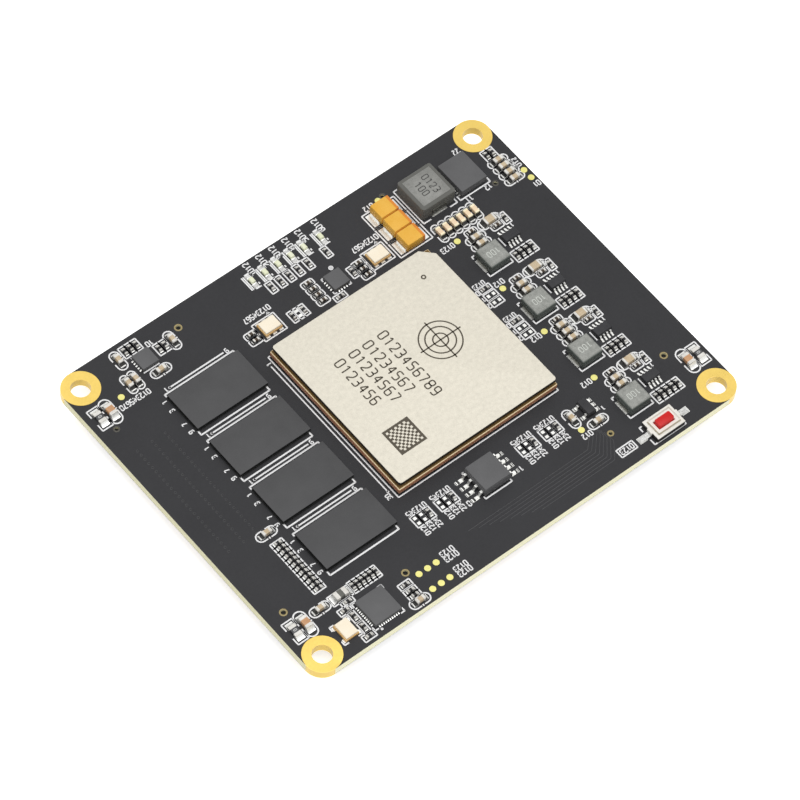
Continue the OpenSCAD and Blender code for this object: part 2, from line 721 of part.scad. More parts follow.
module tantalum_capacitors() color("#f5af32") {
    for (p = tantalum_at) on_board(p, pad_t + terminal_t)
        moulded(tantalum_l, tantalum_w, tantalum_h - terminal_t, tantalum_draft,
                tantalum_band[0], tantalum_band[1]);
}

module tantalum_terminals() color("#e6e6e2") {
    for (p = tantalum_at, turn = [0, 180]) on_board([p[0], p[1], turn], pad_t)
        turned_plate(tantalum_l, tantalum_plate_w, tantalum_plate_h, tantalum_plate_t, terminal_t,
                     tantalum_foot_l);
}

// Step-down supplies

module buck_inductor(k) color("#82877f") {
    on_board([buck_at[k][0], buck_at[k][1], 0], pad_t + coil_foot_t) intersection() {
        bevelled(buck_coil_w, buck_coil_w, buck_coil_h - coil_foot_t, buck_coil_bevel);
        linear_extrude(buck_coil_h) round_rect(buck_coil_w, buck_coil_w, buck_coil_bevel);
    }
}

module buck_inductor_terminals() color("#c8c4b0") {
    for (p = buck_at, turn = [0, 180]) on_board([p[0], p[1], turn], pad_t)
        turned_plate(buck_coil_w, buck_plate_w, buck_plate_h, buck_plate_t, coil_foot_t, buck_foot_l);
}

module buck_regulators() color("#3a3a3c") {
    for (p = buck_at) on_board([p[0] + buck_chip_step[0], p[1] + buck_chip_step[1], 0], pad_t + stand_off)
        moulded(buck_chip_l, buck_chip_w, buck_chip_h - stand_off, lead_draft,
                buck_lead_rise - stand_off, buck_lead_rise + buck_lead_t - stand_off);
}

module buck_regulator_leads() color("#e0e0dc") {
    for (p = buck_at, turn = [-90, 90], k = [-1.5 : 1.5])
        on_board([p[0] + buck_chip_step[0] + k * buck_lead_pitch, p[1] + buck_chip_step[1], turn], pad_t)
            translate([buck_chip_w / 2, 0, 0])
                bent_lead(buck_lead_w, buck_lead_t, buck_lead_rise, small_lead_shoulder, buck_lead_reach,
                          buck_lead_foot);
}

// Other chips

module flash_memory() color("#606062") {
    on_board([flash_at[0], flash_at[1], 0], pad_t + stand_off)
        moulded(flash_w, flash_w, flash_h - stand_off, flash_draft,
                flash_lead_rise - stand_off, flash_lead_rise + flash_lead_t - stand_off);
}

module flash_leads() color("#e6e6e2") {
    for (turn = [0, 180], k = [-1.5 : 1.5])
        on_board([flash_at[0], flash_at[1] + k * flash_lead_pitch, turn], pad_t)
            translate([flash_w / 2, 0, 0])
                bent_lead(flash_lead_w, flash_lead_t, flash_lead_rise, flash_lead_shoulder, flash_lead_reach,
                          flash_lead_foot);
}

module linear_regulator() color("#3a3a3c") {
    on_board([ldo_at[0], ldo_at[1], 0], pad_t + stand_off)
        moulded(ldo_w, ldo_l, ldo_h - stand_off, lead_draft, ldo_lead_rise - stand_off,
                ldo_lead_rise + ldo_lead_t - stand_off);
}

// Three leads on one side and two on the other
module linear_regulator_leads() color("#e0e0dc") {
    for (lead = ldo_leads)
        on_board([ldo_at[0], ldo_at[1] + lead[1] * ldo_lead_pitch, lead[0]], pad_t)
            translate([ldo_w / 2, 0, 0])
                bent_lead(ldo_lead_w, ldo_lead_t, ldo_lead_rise, small_lead_shoulder, ldo_lead_reach,
                          ldo_lead_foot);
}

module leadless_chip(p, w) on_board([p[0], p[1], 0], pad_t + terminal_t) block(w, w, leadless_h);

module controller_chip() color("#666668") leadless_chip(controller_at, controller_w);
module clock_buffer() color("#666668") leadless_chip(buffer_at, small_chip_w);
module termination_regulator() color("#666668") leadless_chip(terminator_at, small_chip_w);

// Flat bars under the edges of the leadless chips, and the square ones under their middles
module leadless_bars(lift, past, t) {
    for (s = leadless_sides) on_board([s[0][0], s[0][1], s[1]], lift) along_side(s[3], s[4], s[5])
        bar(s[2] / 2 - terminal_l, s[2] / 2 + past, s[6], t);
}
module leadless_heat_pads(lift, t) {
    for (s = leadless_sides) if (s[1] == 0) on_board([s[0][0], s[0][1], 0], lift)
        block(s[2] - 2 * heat_margin, s[3] - 2 * heat_margin, t);
}

module leadless_terminals() color("#e0e0d8") {
    leadless_bars(pad_t, 0, terminal_t);
    leadless_heat_pads(pad_t, terminal_t);
}

module clock_base() block(clock_l, clock_w, clock_base_h);
module clock_lid() {
    bevelled(clock_l - 2 * clock_lid_inset, clock_w - 2 * clock_lid_inset, clock_lid_h, clock_lid_bevel);
}

module oscillator_bases() color("#c8963c") for (p = oscillator_at) on_board(p, pad_t) clock_base();
module oscillator_lids() color("#f5ebd2") {
    for (p = oscillator_at) on_board(p, pad_t + clock_base_h) clock_lid();
}
module crystal_base() color("#c8963c") on_board(crystal_at, pad_t) clock_base();
module crystal_lid() color("#f0e1bc") on_board(crystal_at, pad_t + clock_base_h) clock_lid();

// Indicator lights, capacitors, resistors and the ferrite bead

// Clear lens between two low ends
module indicator_leds() color("#eef0d2") {
    for (p = led_at) on_board(p, pad_t)
        bevelled(size_led[0] - 2 * size_led[3], size_led[1] - 2 * body_inset, size_led[2], led_bevel);
}
module indicator_led_terminals() color("#e6e6e2") {
    for (p = led_at) on_board(p, pad_t) chip_ends([size_led[0], size_led[1], led_end_h, size_led[3]]);
}

module capacitors_0402() color("#c8b48c") {
    for (p = capacitors_0402_at) on_board(p, pad_t) chip_middle(size_0402);
}
module capacitors_0603() color("#dcbe94") {
    for (p = capacitors_0603_at) on_board(p, pad_t) chip_middle(size_0603);
}
module capacitors_0805() color("#cd8c5a") {
    for (p = capacitors_0805_at) on_board(p, pad_t) chip_middle(size_0805);
}
module input_capacitors() color("#dcbe94") {
    for (p = input_capacitors_at) on_board(p, pad_t) chip_middle(size_0805);
}
module underside_capacitors() color("#c8b48c") {
    for (p = underside_at) under_board(p, pad_t) chip_middle(size_0402);
}

module capacitor_terminals() color("#e6e2d8") {
    for (p = capacitors_0402_at) on_board(p, pad_t) chip_ends(size_0402);
    for (p = capacitors_0603_at) on_board(p, pad_t) chip_ends(size_0603);
    for (p = concat(capacitors_0805_at, input_capacitors_at)) on_board(p, pad_t) chip_ends(size_0805);
    for (p = underside_at) under_board(p, pad_t) chip_ends(size_0402);
}

module resistors_0402() color("#2a2a2c") {
    for (p = resistors_0402_at) on_board(p, pad_t) chip_middle(size_0402_thin);
}
module resistors_0805() color("#2a2a2c") {
    for (p = resistors_0805_at) on_board(p, pad_t) chip_middle(size_0805_thin);
}

module resistor_terminals() color("#e2e2e0") {
    for (p = resistors_0402_at) on_board(p, pad_t) chip_ends(size_0402_thin);
    for (p = resistors_0805_at) on_board(p, pad_t) chip_ends(size_0805_thin);
}

module ferrite_bead() color("#6e6e68") on_board(bead_at, pad_t) chip_middle(size_bead);
module ferrite_bead_terminals() color("#ecece6") on_board(bead_at, pad_t) chip_ends(size_bead);

// Reset switch

module reset_switch_base() color("#262626") {
    on_board(switch_place, 0) difference() {
        block(switch_l, switch_d, switch_base_h);
        translate([0, 0, switch_floor_t])
            block(switch_l - 2 * switch_wall, switch_d - 2 * switch_wall, switch_base_h);
    }
}

// Sprung disc that clicks and lifts the button again
module reset_switch_dome() color("#d0d0c8") {
    on_board(switch_place, switch_floor_t) rotate_extrude()
        polygon([[0, dome_h - dome_t], [0, dome_h], [dome_d / 4, dome_h - dome_t / 2], [dome_d / 2, dome_t],
                 [dome_d / 2, 0], [dome_d / 2 - dome_t, 0], [dome_d / 4, dome_h - 3 * dome_t / 2]]);
}

// Pressed cover: a flat rim with an ear folded down at each end, and a raised middle round the button
module reset_switch_cover() color("#ece6da") {
    on_board(switch_place, switch_base_h) {
        difference() {
            union() {
                block(switch_l, switch_d, switch_cover_t);
                translate([0, 0, switch_cover_t])
                    bevelled(switch_l - 2 * plateau_margin, switch_d - 2 * plateau_margin, plateau_h,
                             plateau_bevel);
            }
            translate([0, 0, -switch_cover_t])
                block(button_l + 2 * button_gap, button_w + 2 * button_gap, plateau_h + 3 * switch_cover_t);
        }
        for (x = [-1, 1]) translate([x * (switch_l + switch_cover_t) / 2, 0, -ear_drop])
            block(switch_cover_t, ear_w, ear_drop + switch_cover_t);
    }
}

module reset_switch_leads() color("#e6e6e2") {
    for (turn = [0, 180]) on_board([switch_at[0], switch_at[1], turn], pad_t) translate([switch_l / 2, 0, 0])
        bent_lead(switch_lead_w, switch_lead_t, switch_lead_rise, switch_lead_shoulder, switch_lead_reach,
                  switch_lead_foot);
}

// Push-button with a flange that holds it under the cover
module reset_button() color("#dc2d28") {
    on_board(switch_place, flange_z) {
        block(button_l + 2 * flange_past, button_w + 2 * flange_past, flange_t);
        linear_extrude(button_top - flange_z) round_rect(button_l, button_w, button_r);
    }
}

// Board-to-board plugs

module plug_bar() {
    rotate([90, 0, 90]) linear_extrude(plug_l, center = true) polygon([
        [-plug_bar_w / 2, plug_h], [-plug_bar_w / 2, plug_tip], [-plug_bar_w / 2 + plug_tip, 0],
        [plug_bar_w / 2 - plug_tip, 0], [plug_bar_w / 2, plug_tip], [plug_bar_w / 2, plug_h]
    ]);
}

module plug_housing() {
    plug_bar();
    for (x = [-1, 1]) translate([x * (plug_l - plug_end_l) / 2, 0, plug_h]) mirror([0, 0, 1])
        bevelled(plug_end_l, plug_w, plug_end_h, plug_tip);
    for (k = [0, 1]) translate([peg_end[k] * peg_reach, peg_offset, plug_h])
        cylinder(board_t - peg_recess, d = peg_size[k]);
}

// Blade along the bar's side with a tail turned out on the board
module plug_contact() {
    rotate([90, 0, 90]) linear_extrude(contact_w, center = true) polygon([
        [plug_bar_w / 2, contact_start], [plug_bar_w / 2 + contact_t, contact_start],
        [plug_bar_w / 2 + contact_t, plug_h - contact_t],
        [plug_bar_w / 2 + contact_t + contact_tail, plug_h - contact_t],
        [plug_bar_w / 2 + contact_t + contact_tail, plug_h], [plug_bar_w / 2, plug_h]
    ]);
}

module at_plugs() for (p = plug_at) translate([p[0], p[1], 0]) rotate(p[2]) children();

module plug_housings() color("#2b2b2b") at_plugs() plug_housing();

module plug_contacts() color("#e8c878") at_plugs()
    for (side = [0, 180]) rotate(side) for (k = [0 : contact_count - 1])
        translate([(k - (contact_count - 1) / 2) * plug_pitch, 0, 0]) plug_contact();

circuit_board();
hole_plating();
test_pads();
solder_pads();
fpga_substrate();
fpga_solder_balls();
fpga_die();
fpga_thermal_pad();
fpga_lid();
for (k = [0 : 3]) memory_chip(k);
memory_substrates();
memory_solder_balls();
power_converter();
power_inductor();
power_inductor_terminals();
tantalum_capacitors();
tantalum_terminals();
for (k = [0 : 3]) buck_inductor(k);
buck_inductor_terminals();
buck_regulators();
buck_regulator_leads();
flash_memory();
flash_leads();
linear_regulator();
linear_regulator_leads();
controller_chip();
clock_buffer();
termination_regulator();
leadless_terminals();
oscillator_bases();
oscillator_lids();
crystal_base();
crystal_lid();
indicator_leds();
indicator_led_terminals();
capacitors_0402();
capacitors_0603();
capacitors_0805();
input_capacitors();
underside_capacitors();
capacitor_terminals();
resistors_0402();
resistors_0805();
resistor_terminals();
ferrite_bead();
ferrite_bead_terminals();
reset_switch_base();
reset_switch_cover();
reset_switch_dome();
reset_switch_leads();
reset_button();
plug_housings();
plug_contacts();
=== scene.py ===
"""Looks of a programmable-logic core board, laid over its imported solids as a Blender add-on."""

import math

import bmesh
import bpy
from mathutils import Euler, Matrix, Vector


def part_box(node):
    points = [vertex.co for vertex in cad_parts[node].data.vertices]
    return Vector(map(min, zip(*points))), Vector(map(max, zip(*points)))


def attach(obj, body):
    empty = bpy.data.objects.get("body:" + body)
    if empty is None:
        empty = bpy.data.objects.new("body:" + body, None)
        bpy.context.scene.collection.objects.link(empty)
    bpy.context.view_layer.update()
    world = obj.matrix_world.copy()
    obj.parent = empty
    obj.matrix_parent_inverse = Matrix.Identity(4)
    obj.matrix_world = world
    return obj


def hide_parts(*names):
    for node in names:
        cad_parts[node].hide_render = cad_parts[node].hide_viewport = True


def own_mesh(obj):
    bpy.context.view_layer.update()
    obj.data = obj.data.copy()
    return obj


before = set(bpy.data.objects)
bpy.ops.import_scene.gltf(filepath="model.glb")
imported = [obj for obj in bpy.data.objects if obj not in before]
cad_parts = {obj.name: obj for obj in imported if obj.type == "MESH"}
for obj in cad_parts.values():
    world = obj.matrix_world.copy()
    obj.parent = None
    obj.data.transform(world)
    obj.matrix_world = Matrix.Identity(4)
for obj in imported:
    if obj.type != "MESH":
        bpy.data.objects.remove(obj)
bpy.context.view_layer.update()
SLOTS = {name: node.data.materials[0].name for name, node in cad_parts.items()}

bl_info = {
    "name": "Core board looks",
    "version": (1, 0, 0),
    "blender": (4, 5, 0),
    "location": "View3D > Sidebar > Core board",
    "description": "Finishes, print, solder and stage of a programmable-logic core board",
    "category": "Object",
}

# Units, bodies and levels of the frame

MM = 0.001
MODULE = "module"
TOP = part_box("circuit_board")[1].z
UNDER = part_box("circuit_board")[0].z
LID_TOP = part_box("fpga_lid")[1].z
PAD_T = 0.05 * MM
PAD_TOP = TOP + PAD_T
WELD = 0.0005 * MM
FLAT_ANGLE = math.radians(1)
SHARP_ANGLE = math.radians(40)
COUNTING = "0123456789"

# Two-ended chips: node, overall length, width and height, and where their pads end, in millimetres
SMALL_CHIPS = {
    "capacitors_0402": (1.0, 0.5, 0.5, 0.75),
    "capacitors_0603": (1.6, 0.8, 0.8, 1.37),
    "capacitors_0805": (2.0, 1.25, 0.85, 1.69),
    "input_capacitors": (2.0, 1.25, 0.85, 1.69),
    "underside_capacitors": (1.0, 0.5, 0.5, 0.75),
    "resistors_0402": (1.0, 0.5, 0.35, 0.75),
    "resistors_0805": (2.0, 1.25, 0.5, 1.69),
    "ferrite_bead": (2.2, 1.3, 0.9, 1.69),
    "indicator_leds": (1.6, 0.8, 0.22, 1.37),
}


def box_mm(node):
    """Lowest and highest corners of a CAD node, in millimetres."""
    return [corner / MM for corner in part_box(node)]


def middle_mm(node):
    """Middle of a CAD node in plan, in millimetres."""
    low, high = box_mm(node)
    return (low.x + high.x) / 2, (low.y + high.y) / 2

# Where the row of pale capacitors starts, in millimetres
PALE_ROW_LEFT = 20


def tint(red, green, blue):
    """Scene-linear colour of an eight-bit screen colour."""
    shares = [value / 255 for value in (red, green, blue)]
    return tuple(s / 12.92 if s < 0.04 else ((s + 0.055) / 1.055) ** 2.4 for s in shares)


# Settings


def colour_setting(name, description, *screen):
    """Colour property with its default given as a screen colour."""
    return bpy.props.FloatVectorProperty(
        name=name, description=description, subtype="COLOR", size=3, min=0, max=1, default=tint(*screen)
    )


def length_setting(name, description, millimetres):
    """Length property with its default given in millimetres."""
    return bpy.props.FloatProperty(
        name=name, description=description, unit="LENGTH", precision=6, default=millimetres * MM
    )


def angle_setting(name, description, degrees):
    """Angle property with its default given in degrees."""
    return bpy.props.FloatProperty(
        name=name, description=description, subtype="ANGLE", default=math.radians(degrees)
    )


class CoreBoardPrint(bpy.types.PropertyGroup):
    """Sizes and colours of the printed lines and numbers"""

    line_width: length_setting("Line width", "Width of the printed outlines", 0.24)
    bracket_width: length_setting("Bracket width", "Width of the lines round the memory chips", 0.28)
    number_width: length_setting("Number width", "Width of the strokes of the printed numbers", 0.2)
    ink_height: length_setting("Ink height", "Thickness of the printed ink", 0.015)
    ink: colour_setting("Ink", "Colour of the print on the board", 252, 252, 252)
    mark: colour_setting("Mark", "Colour of the marking on the array's lid", 76, 68, 54)
    mark_width: length_setting("Mark width", "Width of the strokes on the array's lid", 0.23)


class CoreBoardFinish(bpy.types.PropertyGroup):
    """Colours of the main finishes and the rounding of the edges"""

    mask: colour_setting("Mask", "Colour of the solder mask", 54, 54, 56)
    laminate: colour_setting("Laminate", "Colour of the board's cut edge", 254, 250, 208)
    gold: colour_setting("Gold", "Colour of the plated corners", 238, 206, 112)
    tin: colour_setting("Tin", "Colour of the tinned pads and leads", 244, 244, 240)
    lid: colour_setting("Lid", "Colour of the array's painted lid", 236, 230, 214)
    mould: colour_setting("Mould", "Colour of the moulded chips", 101, 101, 102)
    button: colour_setting("Button", "Colour of the reset button", 208, 30, 28)
    substrate_edge: length_setting("Substrate edge", "Rounding of the edges of the array's substrate", 0.13)
    chip_edge: length_setting("Chip edge", "Rounding of the edges of chips", 0.05)
    small_edge: length_setting("Small edge", "Rounding of the edges of two-ended chips", 0.045)
    lid_edge: length_setting("Lid edge", "Rounding of the edges of the lid and the inductors", 0.08)


class CoreBoardStage(bpy.types.PropertyGroup):
    """Camera, lamps and floor"""

    heading: angle_setting("Heading", "Direction of view, from the board's depth towards its length", 44.05)
    elevation: angle_setting("Elevation", "Height of the camera over the board", 57.41)
    roll: angle_setting("Roll", "Turn of the picture about the line of sight", 5.62)
    distance: length_setting("Distance", "Distance from the camera to the board", 811.9)
    aim_x: length_setting("Aim along the length", "Point that the camera looks at", -1.47)
    aim_y: length_setting("Aim along the depth", "Point that the camera looks at", -1.83)
    lens: bpy.props.FloatProperty(
        name="Lens", description="Focal length of the camera", unit="CAMERA", default=241.76
    )
    key_power: bpy.props.FloatProperty(
        name="Key", description="Power of the large lamp over the board", unit="POWER", default=4.6
    )
    key_size: length_setting("Key size", "Side of the large lamp over the board", 550)
    under_power: bpy.props.FloatProperty(
        name="Under", description="Power of the lamp below the floor", unit="POWER", default=2.0
    )
    under_size: length_setting("Under size", "Side of the lamp below the floor", 500)
    sky: bpy.props.FloatProperty(name="Sky", description="Level of the even light all round", default=0.4)
    floor: colour_setting("Floor", "Colour of the floor", 240, 240, 240)


# Shared shader groups


def add_socket(group, name, direction, kind="NodeSocketFloat", default=None):
    """Adds a named socket to a node group's interface."""
    made = group.interface.new_socket(name, in_out=direction, socket_type=kind)
    if default is not None:
        made.default_value = default


def math_node(tree, operation, *values, clamp=False):
    """Output of a sum or a test on sockets and plain numbers."""
    node = tree.nodes.new("ShaderNodeMath")
    node.operation = operation
    node.use_clamp = clamp
    for socket, value in zip(node.inputs, values):
        if isinstance(value, bpy.types.NodeSocket):
            tree.links.new(value, socket)
        else:
            socket.default_value = value
    return node.outputs["Value"]


def object_axis(tree, axis):
    """Output of one of the piece's own coordinates."""
    coordinates = tree.nodes.new("ShaderNodeTexCoord")
    split = tree.nodes.new("ShaderNodeSeparateXYZ")
    tree.links.new(coordinates.outputs["Object"], split.inputs["Vector"])
    return split.outputs[axis]


def grain_group():
    """Broad patches with fine grain on them, as a tone and a height."""
    name = "Fine grain"
    if name in bpy.data.node_groups:
        return bpy.data.node_groups[name]
    group = bpy.data.node_groups.new(name, "ShaderNodeTree")
    add_socket(group, "Patch scale", "INPUT", default=300.0)
    add_socket(group, "Grain scale", "INPUT", default=4000.0)
    add_socket(group, "Tone", "OUTPUT")
    add_socket(group, "Height", "OUTPUT")
    nodes, links = group.nodes, group.links
    inputs = nodes.new("NodeGroupInput")
    outputs = nodes.new("NodeGroupOutput")
    coordinates = nodes.new("ShaderNodeTexCoord")
    patch = nodes.new("ShaderNodeTexNoise")
    grain = nodes.new("ShaderNodeTexNoise")
    patch.inputs["Detail"].default_value = 3
    grain.inputs["Detail"].default_value = 4
    for texture, scale in ((patch, "Patch scale"), (grain, "Grain scale")):
        links.new(coordinates.outputs["Object"], texture.inputs["Vector"])
        links.new(inputs.outputs[scale], texture.inputs["Scale"])
    blend = nodes.new("ShaderNodeMix")
    blend.inputs["Factor"].default_value = 0.5
    links.new(patch.outputs["Fac"], blend.inputs["A"])
    links.new(grain.outputs["Fac"], blend.inputs["B"])
    stretch = nodes.new("ShaderNodeMapRange")
    stretch.inputs["From Min"].default_value = 0.3
    stretch.inputs["From Max"].default_value = 0.7
    links.new(blend.outputs["Result"], stretch.inputs["Value"])
    links.new(stretch.outputs["Result"], outputs.inputs["Tone"])
    links.new(grain.outputs["Fac"], outputs.inputs["Height"])
    return group


def band_group():
    """Mask of the stretch between two heights, with a soft edge."""
    name = "Height band"
    if name in bpy.data.node_groups:
        return bpy.data.node_groups[name]
    group = bpy.data.node_groups.new(name, "ShaderNodeTree")
    add_socket(group, "Low", "INPUT")
    add_socket(group, "High", "INPUT")
    add_socket(group, "Edge", "INPUT", default=0.01 * MM)
    add_socket(group, "Mask", "OUTPUT")
    inputs = group.nodes.new("NodeGroupInput")
    outputs = group.nodes.new("NodeGroupOutput")
    low, high, edge = (inputs.outputs[socket] for socket in ("Low", "High", "Edge"))
    height = object_axis(group, "Z")
    steps = []
    for more, less in ((height, low), (high, height)):
        past = math_node(group, "SUBTRACT", more, less)
        steps.append(math_node(group, "DIVIDE", past, edge, clamp=True))
    group.links.new(math_node(group, "MULTIPLY", *steps), outputs.inputs["Mask"])
    return group


def layer_group():
    """Stripes of pressed layers along the height, broken up a little."""
    name = "Pressed layers"
    if name in bpy.data.node_groups:
        return bpy.data.node_groups[name]
    group = bpy.data.node_groups.new(name, "ShaderNodeTree")
    add_socket(group, "Layers per metre", "INPUT", default=5000.0)
    add_socket(group, "Stripe", "OUTPUT")
    nodes, links = group.nodes, group.links
    inputs = nodes.new("NodeGroupInput")
    outputs = nodes.new("NodeGroupOutput")
    coordinates = nodes.new("ShaderNodeTexCoord")
    wave = nodes.new("ShaderNodeTexWave")
    wave.bands_direction = "Z"
    wave.inputs["Distortion"].default_value = 1.2
    wave.inputs["Detail"].default_value = 2
    links.new(coordinates.outputs["Object"], wave.inputs["Vector"])
    links.new(inputs.outputs["Layers per metre"], wave.inputs["Scale"])
    links.new(wave.outputs["Fac"], outputs.inputs["Stripe"])
    return group


# Finishes


class Finish:
    """Procedural material: a grained base over which other colours are laid."""

    def __init__(self, name, light, dark, rough, scales=(300.0, 4000.0), bump=0.0, fixed=None):
        self.material = bpy.data.materials.new(name)
        self.material.use_nodes = True
        self.tree = self.material.node_tree
        self.nodes = self.tree.nodes
        self.links = self.tree.links
        self.shader = self.nodes["Principled BSDF"]
        for socket, value in (fixed or {}).items():
            self.shader.inputs[socket].default_value = value
        self.grain = self.group(grain_group(), {"Patch scale": scales[0], "Grain scale": scales[1]})
        self.colour = None
        self.lay(self.grain.outputs["Tone"], light, dark)
        self.roughen(rough)
        if bump:
            self.emboss(bump)

    def group(self, tree, values):
        """Places a shared shader group with its own values."""
        node = self.nodes.new("ShaderNodeGroup")
        node.node_tree = tree
        for name, value in values.items():
            node.inputs[name].default_value = value
        return node

    def mix(self, mask, under, over):
        """Output that goes from one colour to another as the mask says."""
        node = self.nodes.new("ShaderNodeMix")
        node.data_type = "RGBA"
        self.links.new(mask, node.inputs["Factor"])
        colours = [socket for socket in node.inputs if socket.type == "RGBA"]
        for socket, colour in zip(colours, (under, over)):
            if isinstance(colour, bpy.types.NodeSocket):
                self.links.new(colour, socket)
            else:
                socket.default_value = (*colour, 1)
        return [socket for socket in node.outputs if socket.type == "RGBA"][0]

    def lay(self, mask, over, under=None):
        """Lays a colour over what is there, or over a first colour, where the mask says."""
        self.colour = self.mix(mask, self.colour if under is None else under, over)
        self.links.new(self.colour, self.shader.inputs["Base Color"])

    def roughen(self, rough):
        """Takes the roughness from the grain's tone."""
        spread = self.nodes.new("ShaderNodeMapRange")
        spread.inputs["To Min"].default_value = rough[0]
        spread.inputs["To Max"].default_value = rough[1]
        self.links.new(self.grain.outputs["Tone"], spread.inputs["Value"])
        self.links.new(spread.outputs["Result"], self.shader.inputs["Roughness"])

    def emboss(self, bump):
        """Takes a small relief, in metres, from the grain."""
        relief = self.nodes.new("ShaderNodeBump")
        relief.inputs["Distance"].default_value = bump
        relief.inputs["Strength"].default_value = 1
        self.links.new(self.grain.outputs["Height"], relief.inputs["Height"])
        self.links.new(relief.outputs["Normal"], self.shader.inputs["Normal"])

    def band(self, low, high, colour, edge=0.01 * MM):
        """Lays a colour over the stretch between two heights."""
        band = self.group(band_group(), {"Low": low, "High": high, "Edge": edge})
        self.lay(band.outputs["Mask"], colour)

    def within(self, middle, reach):
        """Mask of a box in plan, from its middle and half its size."""
        near = [
            math_node(self.tree, "COMPARE", object_axis(self.tree, axis), place, half)
            for axis, place, half in zip("XY", middle, reach)
        ]
        return math_node(self.tree, "MULTIPLY", *near)

    def layered(self, low, high, light, dark, per_metre):
        """Lays pressed layers over the stretch between two heights."""
        stripe = self.group(layer_group(), {"Layers per metre": per_metre})
        layers = self.mix(stripe.outputs["Stripe"], dark, light)
        band = self.group(band_group(), {"Low": low, "High": high})
        self.lay(band.outputs["Mask"], layers)


def shade(colour, share):
    """The same colour, darker or lighter."""
    return tuple(min(1, value * share) for value in colour)


METAL = {"Metallic": 1.0}
SATIN = {"Specular IOR Level": 0.15}
GLAZED = {"Specular IOR Level": 0.25, "Coat Weight": 0.08, "Coat Roughness": 0.2}
HALF_METAL = {"Metallic": 0.4, "Specular IOR Level": 0.3}

# Finishes that need no layers: light colour, dark colour, roughness, scales, relief and fixed values
PLAIN_FINISHES = {
    "gold_flash": (
        tint(236, 232, 150), tint(226, 218, 128), (0.35, 0.45), (700, 5000), 0.003 * MM, HALF_METAL
    ),
    "solder": (tint(214, 214, 212), tint(186, 186, 184), (0.25, 0.4), (900, 4000), 0.004 * MM, METAL),
    "silicon": (tint(86, 88, 98), tint(70, 72, 82), (0.15, 0.25), (200, 2000), 0, {}),
    "thermal_pad": (tint(170, 170, 168), tint(150, 150, 148), (0.6, 0.7), (400, 4000), 0, {}),
    "memory_laminate": (tint(40, 42, 38), tint(24, 26, 22), (0.5, 0.6), (500, 5000), 0, {}),
    "clock_ceramic": (tint(236, 200, 138), tint(212, 168, 104), (0.35, 0.5), (900, 6000), 0.004 * MM, SATIN),
    "clock_lid": (tint(254, 246, 228), tint(250, 236, 210), (0.35, 0.5), (500, 6000), 0.003 * MM, SATIN),
    "coil_clips": (tint(120, 120, 112), tint(60, 60, 56), (0.3, 0.45), (900, 5000), 0.005 * MM, HALF_METAL),
    "led_lens": (tint(242, 244, 222), tint(226, 230, 188), (0.2, 0.35), (1200, 6000), 0.004 * MM, GLAZED),
    "small_ceramic": (tint(96, 84, 72), tint(62, 54, 46), (0.4, 0.55), (800, 7000), 0.008 * MM, SATIN),
    "orange_ceramic": (
        tint(216, 172, 132), tint(188, 140, 102), (0.4, 0.55), (800, 7000), 0.008 * MM, SATIN
    ),
    "large_film": (tint(92, 92, 94), tint(62, 62, 64), (0.3, 0.42), (900, 7000), 0.004 * MM, GLAZED),
    "soldered_lead": (tint(252, 252, 250), tint(150, 150, 146), (0.3, 0.45), (1800, 5000), 0.01 * MM, SATIN),
    "resistor_film": (tint(44, 44, 46), tint(30, 30, 32), (0.3, 0.42), (900, 7000), 0.004 * MM, GLAZED),
    "chip_mould_dark": (tint(66, 66, 68), tint(52, 52, 54), (0.45, 0.6), (500, 8000), 0.01 * MM, SATIN),
    "bead_ferrite": (tint(112, 112, 106), tint(92, 92, 88), (0.4, 0.55), (900, 7000), 0.008 * MM, SATIN),
    "switch_base": (tint(44, 42, 40), tint(32, 30, 30), (0.45, 0.6), (600, 6000), 0.006 * MM, SATIN),
    "switch_cover": (tint(246, 243, 236), tint(232, 228, 218), (0.34, 0.48), (500, 5000), 0.006 * MM, SATIN),
    "plug_mould": (tint(38, 38, 39), tint(29, 29, 30), (0.4, 0.55), (400, 5000), 0.006 * MM, SATIN),
    "contact_gold": (tint(240, 206, 128), tint(222, 182, 98), (0.2, 0.32), (900, 5000), 0.002 * MM, METAL),
}


def mask_finish():
    """Satin solder mask on both faces, with the pressed glass layers on the cut edge."""
    colours = bpy.context.scene.core_board_finish
    finish = Finish(
        "solder_mask", shade(colours.mask, 1.08), shade(colours.mask, 0.9), (0.4, 0.5), (120, 2600),
        0.006 * MM, SATIN,
    )
    mask_t = 0.06 * MM
    finish.layered(UNDER + mask_t, TOP - mask_t, colours.laminate, shade(colours.laminate, 0.82), 900)
    return finish.material


def gold_finish():
    """Soft gold plating, with painted shade darkening the walls of the holes and the cut corners."""
    colours = bpy.context.scene.core_board_finish
    finish = Finish(
        "gold_plate", colours.gold, shade(colours.gold, 0.92), (0.26, 0.38), (260, 3000), 0.004 * MM, METAL
    )
    # Painted shade: the plating between the two faces, in the holes and on the cut corners, is darkened.
    finish.band(UNDER + 0.05 * MM, TOP - 0.05 * MM, shade(colours.gold, 0.66), 0.05 * MM)
    return finish.material


def tin_finish():
    """Tin plating, a little frosted."""
    colours = bpy.context.scene.core_board_finish
    return Finish(
        "tinned", colours.tin, shade(colours.tin, 0.8), (0.28, 0.44), (1200, 6000), 0.004 * MM, METAL
    ).material


